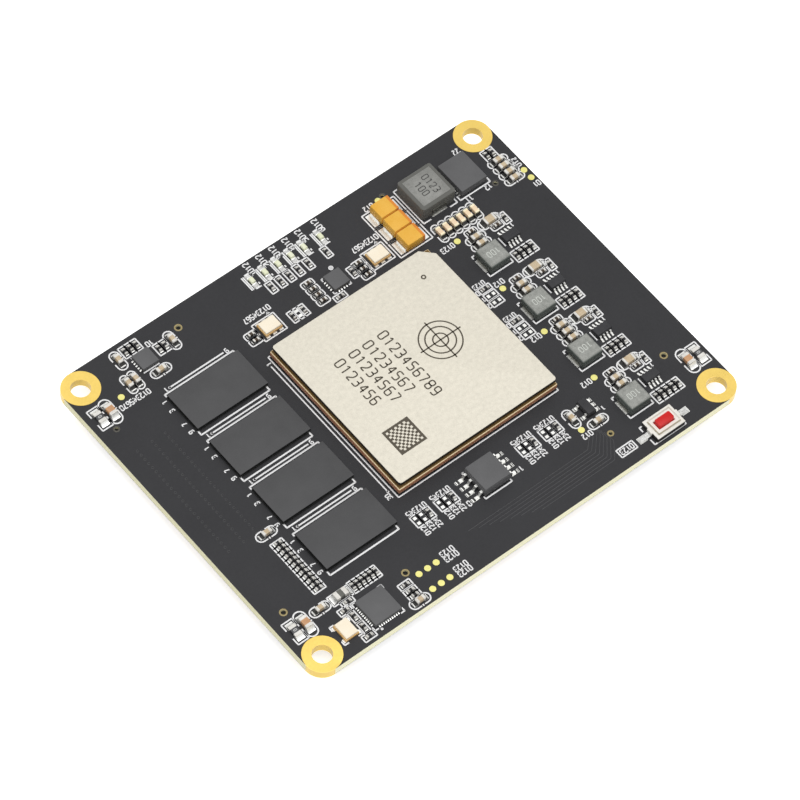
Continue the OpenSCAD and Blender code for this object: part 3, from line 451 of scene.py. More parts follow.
def substrate_finish():
    """Build-up laminate: an olive top darkened as painted shade under the lid, brown pressed layers down the
    sides, a bright copper-coloured top edge that is partly painted highlight, and painted shade at the foot.
    """
    low, high = (corner.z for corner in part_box("fpga_substrate"))
    # The dark olive base is painted shade on the ledge under the lid's overhang.
    finish = Finish(
        "package_laminate", tint(132, 104, 58), tint(106, 82, 44), (0.4, 0.55), (400, 4000),
        0.004 * MM, SATIN,
    )
    finish.layered(low - MM, high - 0.14 * MM, tint(204, 144, 108), tint(160, 108, 80), 700)
    # Painted highlight: the bright copper-coloured band along the top edge.
    finish.band(high - 0.14 * MM, high - 0.005 * MM, tint(254, 230, 188), 0.01 * MM)
    # Painted shade: the darker band at the foot, where the package meets the board.
    finish.band(low - MM, low + 0.25 * MM, tint(92, 58, 42), 0.06 * MM)
    return finish.material


def lid_finish():
    """Speckled cream paint on top, painted shade on the cut side, and a bare foot whose dark brown is partly
    painted shade under the plate.
    """
    colours = bpy.context.scene.core_board_finish
    finish = Finish(
        "lid_paint", shade(colours.lid, 1.05), shade(colours.lid, 0.84), (0.5, 0.62), (1500, 5500),
        0.012 * MM, SATIN,
    )
    plate_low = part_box("fpga_substrate")[1].z + 0.7 * MM
    # Painted shade: the side of the plate is darkened.
    finish.band(plate_low, LID_TOP - 0.05 * MM, tint(40, 34, 28), 0.04 * MM)
    # The foot's dark brown is partly painted shade under the plate's overhang.
    finish.band(0, plate_low, tint(60, 46, 34))
    return finish.material


def memory_finish():
    """Ground grey top over black moulded sides, whose black is partly painted shade."""
    finish = Finish(
        "memory_mould", tint(86, 86, 87), tint(76, 76, 77), (0.5, 0.62), (300, 9000), 0.008 * MM, SATIN
    )
    # Sides darker than the top: partly the mould's own black, partly painted shade.
    finish.band(0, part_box("memory_chip_1")[1].z - 0.04 * MM, tint(16, 16, 17), 0.02 * MM)
    return finish.material


def mould_finish():
    """Moulded epoxy of the grey chips."""
    colours = bpy.context.scene.core_board_finish
    return Finish(
        "chip_mould", shade(colours.mould, 1.06), shade(colours.mould, 0.86), (0.45, 0.6), (400, 8000),
        0.01 * MM, SATIN,
    ).material


def tantalum_finish():
    """Yellow moulding with an orange band at the marked end."""
    finish = Finish(
        "tantalum_mould", tint(242, 190, 88), tint(232, 174, 66), (0.4, 0.55), (500, 6000), 0.01 * MM, SATIN
    )
    marked_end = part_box("tantalum_capacitors")[1].x - 0.55 * MM
    past = math_node(finish.tree, "GREATER_THAN", object_axis(finish.tree, "X"), marked_end)
    finish.lay(past, tint(226, 142, 62))
    return finish.material


def coil_finish():
    """Pressed iron powder, with painted shade down the sides."""
    finish = Finish(
        "coil_core", tint(164, 164, 160), tint(134, 134, 130), (0.5, 0.65), (1200, 5000), 0.02 * MM, SATIN
    )
    # Painted shade: the sides below the top are darkened.
    finish.band(0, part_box("power_inductor")[1].z - 0.07 * MM, tint(104, 104, 100), 0.05 * MM)
    return finish.material


def step_down_finish():
    """Greenish pressed powder, with painted shade on the rim and down the sides, so that the top looks
    paler.
    """
    finish = Finish(
        "buck_core", tint(172, 173, 168), tint(130, 132, 127), (0.42, 0.58), (1500, 5000), 0.02 * MM, SATIN
    )
    # Painted shade: the rim and the sides below the top are darkened.
    finish.band(0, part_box("buck_inductor_1")[1].z - 0.12 * MM, tint(90, 96, 92), 0.12 * MM)
    return finish.material


def end_finish(name, light, dark):
    """Tinned end caps, with painted shade towards the board."""
    finish = Finish(name, light, dark, (0.4, 0.55), (900, 5000), 0.005 * MM, SATIN)
    # Painted shade: the tin is darkened towards the board.
    finish.band(TOP - 0.1 * MM, TOP + 0.5 * MM, tint(84, 84, 81), 0.35 * MM)
    return finish.material


def chip_end_finish():
    """White tin of most chips' ends."""
    return end_finish("chip_ends", tint(244, 242, 236), tint(206, 203, 196))


def pale_end_finish():
    """Warm tin of the ends in the pale row."""
    return end_finish("pale_ends", tint(255, 247, 216), tint(252, 238, 202))


def tan_finish():
    """Tan ceramic, paler in the row by the large inductor."""
    finish = Finish(
        "tan_ceramic", tint(216, 200, 172), tint(186, 164, 132), (0.4, 0.55), (800, 7000), 0.008 * MM, SATIN
    )
    row = [chip for chip in islands("capacitors_0603") if in_pale_row(chip)]
    left, right = row[0], row[-1]
    middle = ((left.x + right.x) / 2 * MM, left.y * MM)
    reach = ((right.x - left.x + left.w) / 2 * MM, left.d / 2 * MM)
    finish.lay(finish.within(middle, reach), tint(243, 219, 186))
    return finish.material


def drawn_finish():
    """Solder drawn up the ends, painted dark as a dark reflection, with a painted highlight at the toe."""
    # The dark base colour is a painted dark reflection on the shiny solder.
    finish = Finish(
        "drawn_solder", tint(84, 84, 82), tint(22, 22, 21), (0.25, 0.4), (1400, 4000), 0.01 * MM, HALF_METAL
    )
    # Painted highlight: a bright band at the toe, low on the fillet.
    finish.band(PAD_TOP + 0.005 * MM, PAD_TOP + 0.05 * MM, tint(240, 240, 236), 0.012 * MM)
    return finish.material


def button_finish():
    """Glossy red moulding."""
    colours = bpy.context.scene.core_board_finish
    return Finish(
        "button_red", shade(colours.button, 1.05), shade(colours.button, 0.86), (0.3, 0.42), (700, 5000),
        0.004 * MM, GLAZED,
    ).material


LAYERED_FINISHES = {
    "solder_mask": mask_finish,
    "gold_plate": gold_finish,
    "tinned": tin_finish,
    "package_laminate": substrate_finish,
    "lid_paint": lid_finish,
    "memory_mould": memory_finish,
    "chip_mould": mould_finish,
    "tantalum_mould": tantalum_finish,
    "coil_core": coil_finish,
    "buck_core": step_down_finish,
    "chip_ends": chip_end_finish,
    "pale_ends": pale_end_finish,
    "tan_ceramic": tan_finish,
    "drawn_solder": drawn_finish,
    "button_red": button_finish,
}

MADE = {}


def finish_of(slot):
    """The material of a finish, made on first use."""
    if slot not in MADE:
        if slot in LAYERED_FINISHES:
            MADE[slot] = LAYERED_FINISHES[slot]()
        else:
            light, dark, rough, scales, bump, fixed = PLAIN_FINISHES[slot]
            MADE[slot] = Finish(slot, light, dark, rough, scales, bump, fixed).material
    return MADE[slot]


def ink_of(name, colour, rough=(0.5, 0.65)):
    """The material of a printed or marked line."""
    if name not in MADE:
        MADE[name] = Finish(name, colour, shade(colour, 0.86), rough, (900, 7000)).material
    return MADE[name]


# Pieces


def add_piece(name, mesh, slot, material=None, body=MODULE, stands_for=()):
    """Puts a finished mesh in the scene as a piece that rides on a body."""
    holder = bpy.data.objects.new(name, mesh)
    bpy.context.scene.collection.objects.link(holder)
    mesh.materials.clear()
    mesh.materials.append(material or finish_of(slot))
    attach(holder, body)
    if stands_for:
        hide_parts(*stands_for)
    return holder


def dress(*nodes, finish=None):
    """Gives CAD nodes their finish and leaves their shape as it is."""
    for node in nodes:
        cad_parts[node].data.materials[0] = finish_of(finish or SLOTS[node])


def welded(node):
    """Working copy of a CAD node's loose triangles, joined at their corners."""
    work = bmesh.new()
    work.from_mesh(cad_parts[node].data)
    bmesh.ops.remove_doubles(work, verts=work.verts, dist=WELD)
    return work


def made_mesh(work, name):
    """Plain mesh of a working copy, which is freed."""
    mesh = bpy.data.meshes.new(name)
    work.to_mesh(mesh)
    work.free()
    return mesh


def smooth(mesh):
    """Smooths a mesh but for its sharp edges."""
    mesh.polygons.foreach_set("use_smooth", [True] * len(mesh.polygons))
    mesh.set_sharp_from_angle(angle=SHARP_ANGLE)


def step_rim(work, inset, drop):
    """Lowers the rim of a working copy's top and leaves the middle at its height."""
    top = max(vertex.co.z for vertex in work.verts)
    crown = [f for f in work.faces if f.normal.z > 0.99 and f.calc_center_median().z > top - WELD]
    for thickness in (inset, 0.4 * drop):
        bmesh.ops.inset_region(work, faces=crown, thickness=thickness, use_even_offset=True)
    middle = {vertex for face in crown for vertex in face.verts}
    for vertex in work.verts:
        if vertex.co.z > top - WELD and vertex not in middle:
            vertex.co.z -= drop


def soften(node, width, finish=None, body=MODULE, sink=0.0, rim=None):
    """Puts a copy of a CAD node with rounded edges in its place, its top sunk where ink lies on it."""
    work = welded(node)
    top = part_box(node)[1].z
    for vertex in work.verts:
        if vertex.co.z > top - WELD:
            vertex.co.z -= sink
    bmesh.ops.dissolve_limit(work, angle_limit=FLAT_ANGLE, verts=work.verts, edges=work.edges)
    if rim:
        step_rim(work, *rim)
    sharp = [e for e in work.edges if e.is_manifold and e.calc_face_angle() > SHARP_ANGLE]
    bmesh.ops.bevel(
        work, geom=sharp, offset=width, segments=2, profile=0.5, affect="EDGES", clamp_overlap=True
    )
    mesh = made_mesh(work, f"{node}_soft")
    smooth(mesh)
    material = finish_of(finish) if finish else None
    return add_piece(f"{node}_soft", mesh, SLOTS[node], material, body, (node,))


class Island:
    """Box of one of the separate solids of a CAD node, in millimetres."""

    def __init__(self, corners):
        low = [min(corner[k] for corner in corners) / MM for k in range(3)]
        high = [max(corner[k] for corner in corners) / MM for k in range(3)]
        self.x = (low[0] + high[0]) / 2
        self.y = (low[1] + high[1]) / 2
        self.low = low[2]
        self.high = high[2]
        self.w = high[0] - low[0]
        self.d = high[1] - low[1]
        self.turn = 0

    @property
    def at(self):
        """Middle of the box in plan."""
        return (self.x, self.y)


KNOWN_ISLANDS = {}


def islands(node):
    """The separate solids of a CAD node, from left to right and front to back."""
    if node in KNOWN_ISLANDS:
        return KNOWN_ISLANDS[node]
    work = welded(node)
    found, seen = [], set()
    for start in work.verts:
        if start in seen:
            continue
        group, edge_of_search = [], [start]
        seen.add(start)
        while edge_of_search:
            vertex = edge_of_search.pop()
            group.append(vertex.co.copy())
            for edge in vertex.link_edges:
                other = edge.other_vert(vertex)
                if other not in seen:
                    seen.add(other)
                    edge_of_search.append(other)
        found.append(Island(group))
    work.free()
    if node in SMALL_CHIPS:
        across = SMALL_CHIPS[node][1] - 0.04
        for chip in found:
            chip.turn = 0 if abs(chip.d - across) < abs(chip.w - across) else 90
    found.sort(key=lambda island: (round(island.x, 2), round(island.y, 2)))
    KNOWN_ISLANDS[node] = found
    return found


def in_pale_row(chip):
    """Whether a 0603 capacitor is one of the pale row by the large inductor."""
    return chip.turn == 90 and chip.x > PALE_ROW_LEFT


# Node trees


def pen_tree():
    """Tree that gives pen paths a width, a height and a material."""
    name = "Pen stroke"
    if name in bpy.data.node_groups:
        return bpy.data.node_groups[name]
    tree = bpy.data.node_groups.new(name, "GeometryNodeTree")
    add_socket(tree, "Paths", "INPUT", "NodeSocketGeometry")
    add_socket(tree, "Width", "INPUT", default=0.15 * MM)
    add_socket(tree, "Height", "INPUT", default=0.015 * MM)
    add_socket(tree, "Material", "INPUT", "NodeSocketMaterial")
    add_socket(tree, "Strokes", "OUTPUT", "NodeSocketGeometry")
    nodes, links = tree.nodes, tree.links
    inputs = nodes.new("NodeGroupInput")
    outputs = nodes.new("NodeGroupOutput")
    curves = nodes.new("GeometryNodeMeshToCurve")
    upright = nodes.new("GeometryNodeSetCurveNormal")
    upright.mode = "Z_UP"
    nib = nodes.new("GeometryNodeCurvePrimitiveQuadrilateral")
    strokes = nodes.new("GeometryNodeCurveToMesh")
    strokes.inputs["Fill Caps"].default_value = True
    real = nodes.new("GeometryNodeRealizeInstances")
    paint = nodes.new("GeometryNodeSetMaterial")
    links.new(inputs.outputs["Paths"], curves.inputs["Mesh"])
    links.new(curves.outputs["Curve"], upright.inputs["Curve"])
    links.new(upright.outputs["Curve"], strokes.inputs["Curve"])
    links.new(inputs.outputs["Width"], nib.inputs["Width"])
    links.new(inputs.outputs["Height"], nib.inputs["Height"])
    links.new(nib.outputs["Curve"], strokes.inputs["Profile Curve"])
    links.new(strokes.outputs["Mesh"], real.inputs["Geometry"])
    links.new(real.outputs["Geometry"], paint.inputs["Geometry"])
    links.new(inputs.outputs["Material"], paint.inputs["Material"])
    links.new(paint.outputs["Geometry"], outputs.inputs["Strokes"])
    return tree


def setting_tree():
    """Tree that sets a shape on points that carry their own size and turn."""
    name = "Set on points"
    if name in bpy.data.node_groups:
        return bpy.data.node_groups[name]
    tree = bpy.data.node_groups.new(name, "GeometryNodeTree")
    add_socket(tree, "Points", "INPUT", "NodeSocketGeometry")
    add_socket(tree, "Shape", "INPUT", "NodeSocketObject")
    add_socket(tree, "Scale", "INPUT", "NodeSocketVector", (1.0, 1.0, 1.0))
    add_socket(tree, "Material", "INPUT", "NodeSocketMaterial")
    add_socket(tree, "Pieces", "OUTPUT", "NodeSocketGeometry")
    nodes, links = tree.nodes, tree.links
    inputs = nodes.new("NodeGroupInput")
    outputs = nodes.new("NodeGroupOutput")
    shape = nodes.new("GeometryNodeObjectInfo")
    places = nodes.new("GeometryNodeInstanceOnPoints")
    stretch = nodes.new("ShaderNodeVectorMath")
    stretch.operation = "MULTIPLY"
    turn = nodes.new("FunctionNodeEulerToRotation")
    kept = {}
    for attribute in ("size", "turn"):
        kept[attribute] = nodes.new("GeometryNodeInputNamedAttribute")
        kept[attribute].data_type = "FLOAT_VECTOR"
        kept[attribute].inputs["Name"].default_value = attribute
    real = nodes.new("GeometryNodeRealizeInstances")
    paint = nodes.new("GeometryNodeSetMaterial")
    links.new(inputs.outputs["Points"], places.inputs["Points"])
    links.new(inputs.outputs["Shape"], shape.inputs["Object"])
    links.new(shape.outputs["Geometry"], places.inputs["Instance"])
    links.new(kept["size"].outputs["Attribute"], stretch.inputs[0])
    links.new(inputs.outputs["Scale"], stretch.inputs[1])
    links.new(stretch.outputs["Vector"], places.inputs["Scale"])
    links.new(kept["turn"].outputs["Attribute"], turn.inputs["Euler"])
    links.new(turn.outputs["Rotation"], places.inputs["Rotation"])
    links.new(places.outputs["Instances"], real.inputs["Geometry"])
    links.new(real.outputs["Geometry"], paint.inputs["Geometry"])
    links.new(inputs.outputs["Material"], paint.inputs["Material"])
    links.new(paint.outputs["Geometry"], outputs.inputs["Pieces"])
    return tree


def run_tree(tree, mesh, values):
    """The plain mesh that a node tree makes of a mesh."""
    holder = bpy.data.objects.new("node_tree_input", mesh)
    bpy.context.scene.collection.objects.link(holder)
    modifier = holder.modifiers.new("Nodes", "NODES")
    modifier.node_group = tree
    for item in tree.interface.items_tree:
        if item.item_type == "SOCKET" and item.in_out == "INPUT" and item.name in values:
            modifier[item.identifier] = values[item.name]
    graph = bpy.context.evaluated_depsgraph_get()
    made = bpy.data.meshes.new_from_object(holder.evaluated_get(graph))
    holder.modifiers.remove(modifier)
    bpy.data.objects.remove(holder)
    bpy.data.meshes.remove(mesh)
    return made


# Pen paths


def soft_corners(points, radius, closed):
    """Path with each corner drawn as a short curve."""
    if not radius:
        return list(points)
    drawn = []
    count = len(points)
    for k, point in enumerate(points):
        if not closed and k in (0, count - 1):
            drawn.append(point)
            continue
        corner = Vector(point)
        before = Vector(points[k - 1]) - corner
        after = Vector(points[(k + 1) % count]) - corner
        start = corner + before.normalized() * min(radius, before.length / 2)
        end = corner + after.normalized() * min(radius, after.length / 2)
        for share in (0, 0.25, 0.5, 0.75, 1):
            drawn.append(start * (1 - share) ** 2 + corner * 2 * share * (1 - share) + end * share ** 2)
    return drawn


class Pen:
    """Pen paths on a flat face, in millimetres."""

    def __init__(self, numbers=None):
        self.points = []
        self.edges = []
        self.numbers = numbers or self

    def path(self, points, at=(0, 0), turn=0, corner=0.0, closed=False):
        """Draws a path about a place, turned by some degrees."""
        spin = Matrix.Rotation(math.radians(turn), 2)
        first = len(self.points)
        drawn = soft_corners(points, corner, closed)
        for point in drawn:
            self.points.append(spin @ Vector(point) + Vector(at))
        last = len(self.points) - 1
        self.edges += [(k, k + 1) for k in range(first, last)]
        if closed:
            self.edges.append((last, first))

    def box(self, w, d, at=(0, 0), turn=0, corner=0.1):
        """Draws a closed box about a place."""
        corners = [(-w / 2, -d / 2), (w / 2, -d / 2), (w / 2, d / 2), (-w / 2, d / 2)]
        self.path(corners, at, turn, corner, True)

    def ring(self, radius, at=(0, 0), steps=14):
        """Draws a ring about a place."""
        angles = [2 * math.pi / steps * k for k in range(steps)]
        self.path([(radius * math.cos(a), radius * math.sin(a)) for a in angles], at, closed=True)

    def oval(self, length, width, at, turn, gap=0.3):
        """Draws an oval that is open at the middle of its long sides, with a tick there."""
        r = width / 2
        for end in (-1, 1):
            bend = [math.pi * (k / 8 - 0.5) for k in range(9)]
            arc = [(end * (length / 2 - r + r * math.cos(a)), r * math.sin(a)) for a in bend]
            self.path([(end * gap, -r), *arc, (end * gap, r)], at, turn)
        self.path([(0, -r - 0.18), (0, -r + 0.18)], at, turn)

    def number(self, text, at, height, turn=180, advance=0.7, centred=True):
        """Writes a plain number in single strokes."""
        start = -(len(text) - 1) / 2 * advance * height if centred else 0
        for k, digit in enumerate(text):
            for points, closed in DIGITS[digit]:
                shifted = [
                    (start + (k * advance + x - DIGIT_W / 2) * height, (y - 0.5) * height) for x, y in points
                ]
                self.numbers.path(shifted, at, turn, 0.2 * height, closed)

    def strokes(self, z, width, height, material):
        """The finished mesh of the paths on a face at some height."""
        mesh = bpy.data.meshes.new("pen_paths")
        corners = [(p[0] * MM, p[1] * MM, z + height / 2) for p in self.points]
        mesh.from_pydata(corners, self.edges, [])
        return run_tree(pen_tree(), mesh, {"Width": width, "Height": height, "Material": material})


# Digits of a pen one unit high, as paths that are open or closed
DIGIT_W = 0.5
DIGITS = {
    "0": [([(0, 0), (0.5, 0), (0.5, 1), (0, 1)], True)],
    "1": [([(0.08, 0.78), (0.3, 1), (0.3, 0)], False)],
    "2": [([(0, 0.8), (0, 1), (0.5, 1), (0.5, 0.5), (0, 0), (0.5, 0)], False)],
    "3": [
        ([(0, 1), (0.5, 1), (0.5, 0.5), (0.15, 0.5)], False),
        ([(0.3, 0.5), (0.5, 0.5), (0.5, 0), (0, 0)], False),
    ],
    "4": [([(0.4, 0), (0.4, 1), (0, 0.3), (0.5, 0.3)], False)],
    "5": [([(0.5, 1), (0, 1), (0, 0.56), (0.5, 0.56), (0.5, 0), (0, 0)], False)],
    "6": [([(0.45, 1), (0, 1), (0, 0), (0.5, 0), (0.5, 0.55), (0, 0.55)], False)],
    "7": [([(0, 1), (0.5, 1), (0.18, 0)], False)],
    "8": [
        ([(0, 0.5), (0.5, 0.5), (0.5, 1), (0, 1)], True),
        ([(0, 0), (0.5, 0), (0.5, 0.5), (0, 0.5)], True),
    ],
    "9": [([(0.05, 0), (0.5, 0), (0.5, 1), (0, 1), (0, 0.45), (0.5, 0.45)], False)],
}


# Outlines printed round the parts


def room(island, others, wish):
    """Width of an outline that shares its lines with close neighbours."""
    for other in others:
        if other is island or other.turn != island.turn:
            continue
        along, across = other.x - island.x, other.y - island.y
        if island.turn:
            along, across = across, along
        if abs(along) < 0.6 and abs(across) < wish:
            wish = abs(across)
    return wish


def outline_small_chips(pen):
    """Ovals round the capacitors and boxes round the resistors."""
    for node, length, width in (
        ("capacitors_0603", 3.65, 1.65),
        ("capacitors_0805", 4.8, 2.0),
        ("input_capacitors", 4.2, 1.75),
    ):
        found = islands(node)
        for chip in found:
            pen.oval(length, room(chip, found, width), chip.at, chip.turn)
    for node, length, width, corner in (
        ("capacitors_0402", 2.2, 1.25, 0.42),
        ("resistors_0402", 2.2, 1.15, 0.1),
        ("ferrite_bead", 3.8, 1.85, 0.1),
    ):
        found = islands(node)
        for chip in found:
            pen.box(length, room(chip, found, width), chip.at, chip.turn, corner)


def outline_large_resistors(pen):
    """Open brackets at both ends of the large resistors."""
    for chip in islands("resistors_0805"):
        for end in (-1, 1):
            bracket = [(0.75 * end, -1), (2.05 * end, -1), (2.05 * end, 1), (0.75 * end, 1)]
            pen.path(bracket, chip.at, chip.turn, 0.08)


def outline_spare_places(pen):
    """Boxes of the option places, two of each three left empty."""
    filled = [chip for chip in islands("resistors_0402") if -20.2 < chip.y < -19.6 and -12 < chip.x < 16]
    for chip in filled:
        for step in (1, 2):
            pen.box(2.2, 1.18, (chip.x - 1.18 * step, chip.y), 90)
        left = chip.x - 2.36
        pen.number(COUNTING[:6], (left + 1.18, chip.y + 1.62), 0.86, advance=0.72)
        for k in range(3):
            pen.number(COUNTING[k : k + 3], (left + 1.18 * k, chip.y - 2.1), 0.8, turn=90)
    pairs = [chip for chip in islands("resistors_0402") if 19 < chip.y < 21 and -6 < chip.x < -2]
    pen.box(2.2, 1.15, (sum(chip.x for chip in pairs) / len(pairs), pairs[0].y), 90)
    side = [chip for chip in islands("resistors_0402") if 21 < chip.x < 22.5 and not chip.turn]
    for chip in side:
        for step in (1, 2):
            pen.box(2.2, 1.3, (chip.x, chip.y - 1.42 * step))
        pen.number(COUNTING[:4], (chip.x - 0.35, chip.y + 1.1), 0.8)
        for k in range(3):
            pen.number(COUNTING[k : k + 2], (chip.x - 1.75, chip.y - 1.42 * k), 0.8)


def outline_memory(pen):
    """Brackets over and under each memory chip, with its row numbers."""
    for k in range(4):
        low, high = box_mm(f"memory_chip_{k + 1}")
        left, right = low.x + 0.15, high.x - 0.2
        middle = (low.y + high.y) / 2
        upper, lower = middle + 4.5, middle - 4.45
        pen.path([(left, upper - 0.5), (left, upper), (right, upper), (right, upper - 0.5)], corner=0.08)
        pen.path([(left, lower + 0.9), (left, lower), (right, lower), (right, lower + 0.9)], corner=0.08)
        pen.path([(left + 1.4, upper + 0.6), (right - 1.4, upper + 0.6)])
        pen.ring(0.1, (left + 1.4, upper + 0.6), 8)
        pen.number("1", (left + 0.75, upper + 0.6), 0.8)
        pen.number("9", (right - 0.8, upper + 0.6), 0.8)
        for digit, step in (("1", 3.45), ("3", 1.55), ("7", -1.45), ("9", -3.15)):
            pen.number(digit, (left - 0.85, middle + step), 0.8, turn=90)


def outline_array(pen):
    """Lines round the logic array with the counts of its first and last balls."""
    low, high = box_mm("fpga_substrate")
    middle = ((low.x + high.x) / 2, (low.y + high.y) / 2)
    pen.box(high.x - low.x + 0.3, high.y - low.y + 0.3, middle)
    line = low.x - 0.81
    pen.path([(line, low.y + 1.6), (line, high.y - 1.4)])
    pen.ring(0.12, (line, low.y + 1.6), 8)
    pen.number("1", (line, high.y - 0.9), 0.8, turn=90)
    pen.number("30", (line - 0.45, low.y + 0.8), 0.8, turn=90)


def outline_supply(pen):
    """Marks round the main converter, its inductor and the tantalum capacitors."""
    low, high = box_mm("power_converter")
    left, right, foot = low.x - 0.5, high.x + 0.5, low.y - 0.35
    pen.path([(left, foot + 0.9), (left, foot), (right, foot), (right, foot + 0.9)], corner=0.06)
    pen.number("22", (high.x - 0.2, high.y + 1.15), 0.9)
    pen.number("11", (low.x + 0.8, foot - 0.6), 0.9)
    pen.number("12", (high.x - 0.4, foot - 0.6), 0.9)
    low, high = box_mm("power_inductor")
    left, right, front, back = low.x - 0.05, high.x + 0.05, low.y - 0.45, high.y + 0.45
    pen.path([(left + 1.45, front), (left, front), (left, back), (left + 0.8, back)], corner=0.06)
    pen.path([(right - 1.45, front), (right, front), (right, front + 0.9)], corner=0.06)
    pen.path([(right - 0.8, back), (right, back), (right, back - 0.9)], corner=0.06)
    found = islands("tantalum_capacitors")
    left, right = found[0].x - 3.15, found[0].x + 3.2
    for chip in found:
        pen.box(right - left, 3.2, ((left + right) / 2, chip.y))


def outline_step_downs(pen):
    """Boxes round the small inductors and lines beside their regulators."""
    for k in range(4):
        x, y = middle_mm(f"buck_inductor_{k + 1}")
        left, right, front, back = x - 2.3, x + 2.3, y - 2.25, y + 2.25
        pen.path([(left, front + 0.75), (left, front), (right, front), (right, front + 0.75)], corner=0.06)
        pen.path([(left, back - 0.5), (left, back), (left + 0.5, back)], corner=0.06)
    for chip in islands("buck_regulators"):
        pen.path([(chip.x - 1.55, chip.y - 0.9), (chip.x - 1.55, chip.y + 0.95)])
        pen.number("1", (chip.x + 1.75, chip.y + 1.6), 0.7)


def corner_marks(pen, node, past_x, past_y, arm):
    """Short angles round the four corners of a part."""
    low, high = box_mm(node)
    for x, inward in ((low.x - past_x, 1), (high.x + past_x, -1)):
        for y, up in ((low.y - past_y, 1), (high.y + past_y, -1)):
            pen.path([(x + arm * inward, y), (x, y), (x, y + arm * up)], corner=0.05)


def outline_leaded_chips(pen):
    """Brackets and counts of the flash memory and the linear regulator."""
    x, y = middle_mm("flash_memory")
    left, right, front = x - 2.55, x + 2.6, y - 2.8
    pen.path([(left, front + 0.5), (left, front), (right, front), (right, front + 0.5)], corner=0.06)
    pen.path([(left, y + 2.5), (left, y + 2.8), (right, y + 2.8), (right, y + 2.5)], corner=0.06)
    pen.number("8", (x - 5.05, y - 1.9), 0.9)
    pen.number("1", (x + 5.1, y - 1.9), 0.9)
    low, high = box_mm("linear_regulator")
    pen.number("1", (high.x + 1.45, low.y + 0.1), 0.8)


def outline_leadless_chips(pen):
    """Lines, corners and first-terminal rings of the leadless chips."""
    low, high = box_mm("termination_regulator")
    for y in (low.y - 0.1, high.y + 0.1):
        pen.path([(low.x, y), (high.x, y)])
    pen.number("10", (high.x + 0.95, high.y + 0.65), 0.9)
    corner_marks(pen, "clock_buffer", 0.15, 0.15, 0.5)
    high = box_mm("clock_buffer")[1]
    pen.ring(0.3, (high.x - 0.6, high.y + 0.95), 12)
    pen.ring(0.12, (high.x - 0.6, high.y + 0.95), 8)
    corner_marks(pen, "controller_chip", 0.3, 0.3, 0.7)
    low = box_mm("controller_chip")[0]
    pen.ring(0.12, (low.x + 0.7, low.y - 0.65), 8)


def outline_clocks(pen):
    """Boxes, arrows and labels of the oscillators, and the crystal's corners."""
    for chip in islands("oscillator_bases"):
        pen.box(4.2, 3.55, chip.at)
        pen.path([(1.1, 1.95), (1.6, 1.95), (1.35, 2.3)], chip.at, corner=0.02, closed=True)
        pen.number(COUNTING[:8], (chip.x - 0.1, chip.y + 3.0), 0.9)
    corner_marks(pen, "crystal_base", 0.45, 0.25, 0.8)


def outline_lights(pen):
    """Bars and labels of the indicator lights."""
    for k, chip in enumerate(islands("indicator_leds")):
        for step in (-0.66, -0.96):
            pen.path([(step, -1.4), (step, 1.4)], chip.at)
        for side in (-1, 1):
            pen.path([(-0.3, 1.5 * side), (0.75, 1.5 * side)], chip.at)
            pen.path([(0.75, 0.7 * side), (0.75, 1.1 * side)], chip.at)
        pen.number(COUNTING[k + 1] + COUNTING[:3], (chip.x + 1.1, chip.y + 1.95), 0.95, turn=90)


def outline_switch(pen):
    """Brackets and label of the reset switch."""
    low, high = box_mm("reset_switch_base")
    left, right, front, back = low.x - 0.5, high.x + 0.3, low.y + 0.05, high.y - 0.05
    pen.path([(left, front + 1.1), (left, front), (right, front), (right, front + 0.5)], corner=0.06)
    pen.path([(left, back - 0.9), (left, back), (left + 0.5, back)], corner=0.06)
    pen.path([(right, back - 0.9), (right, back), (right - 0.5, back)], corner=0.06)
    label = (low.x - 4.4, (low.y + high.y) / 2 + 0.15)
    pen.box(3.1, 1.5, label)
    pen.number(COUNTING[:4], label, 0.9)


# Labels that stand alone: text length, place and turn
LABELS = (
    (4, (21.9, 15.1), 180),
    (3, (24.1, 5.4), 180),
    (3, (22.2, -5.75), 180),
    (3, (22.95, -16.7), 180),
    (3, (17.1, -23.85), 180),
    (2, (40.75, 16.1), 180),
    (3, (40.7, 21.1), 90),
    (3, (17.0, 28.4), 180),
    (9, (-33.2, 22.5), 180),
    (4, (-12.8, -26.7), 180),
    (4, (-12.8, -27.75), 180),
    (4, (-12.8, -29.9), 180),
    (4, (-12.8, -30.95), 180),
)


def print_board():
    """The white print on the board's top."""
    settings = bpy.context.scene.core_board_print
    numbers = Pen()
    pen = Pen(numbers)
    brackets = Pen(numbers)
    for outline in (
        outline_small_chips,
        outline_large_resistors,
        outline_spare_places,
        outline_array,
        outline_supply,
        outline_step_downs,
        outline_leaded_chips,
        outline_leadless_chips,
        outline_clocks,
        outline_lights,
        outline_switch,
    ):
        outline(pen)
    outline_memory(brackets)
    for count, place, turn in LABELS:
        pen.number(COUNTING[:count], place, 0.9, turn)
    ink = ink_of("board_ink", settings.ink)
    for name, paths, width in (
        ("printed_outlines", pen, settings.line_width),
        ("printed_brackets", brackets, settings.bracket_width),
        ("printed_numbers", numbers, settings.number_width),
    ):
        add_piece(name, paths.strokes(TOP, width, settings.ink_height, ink), "solder_mask", ink)


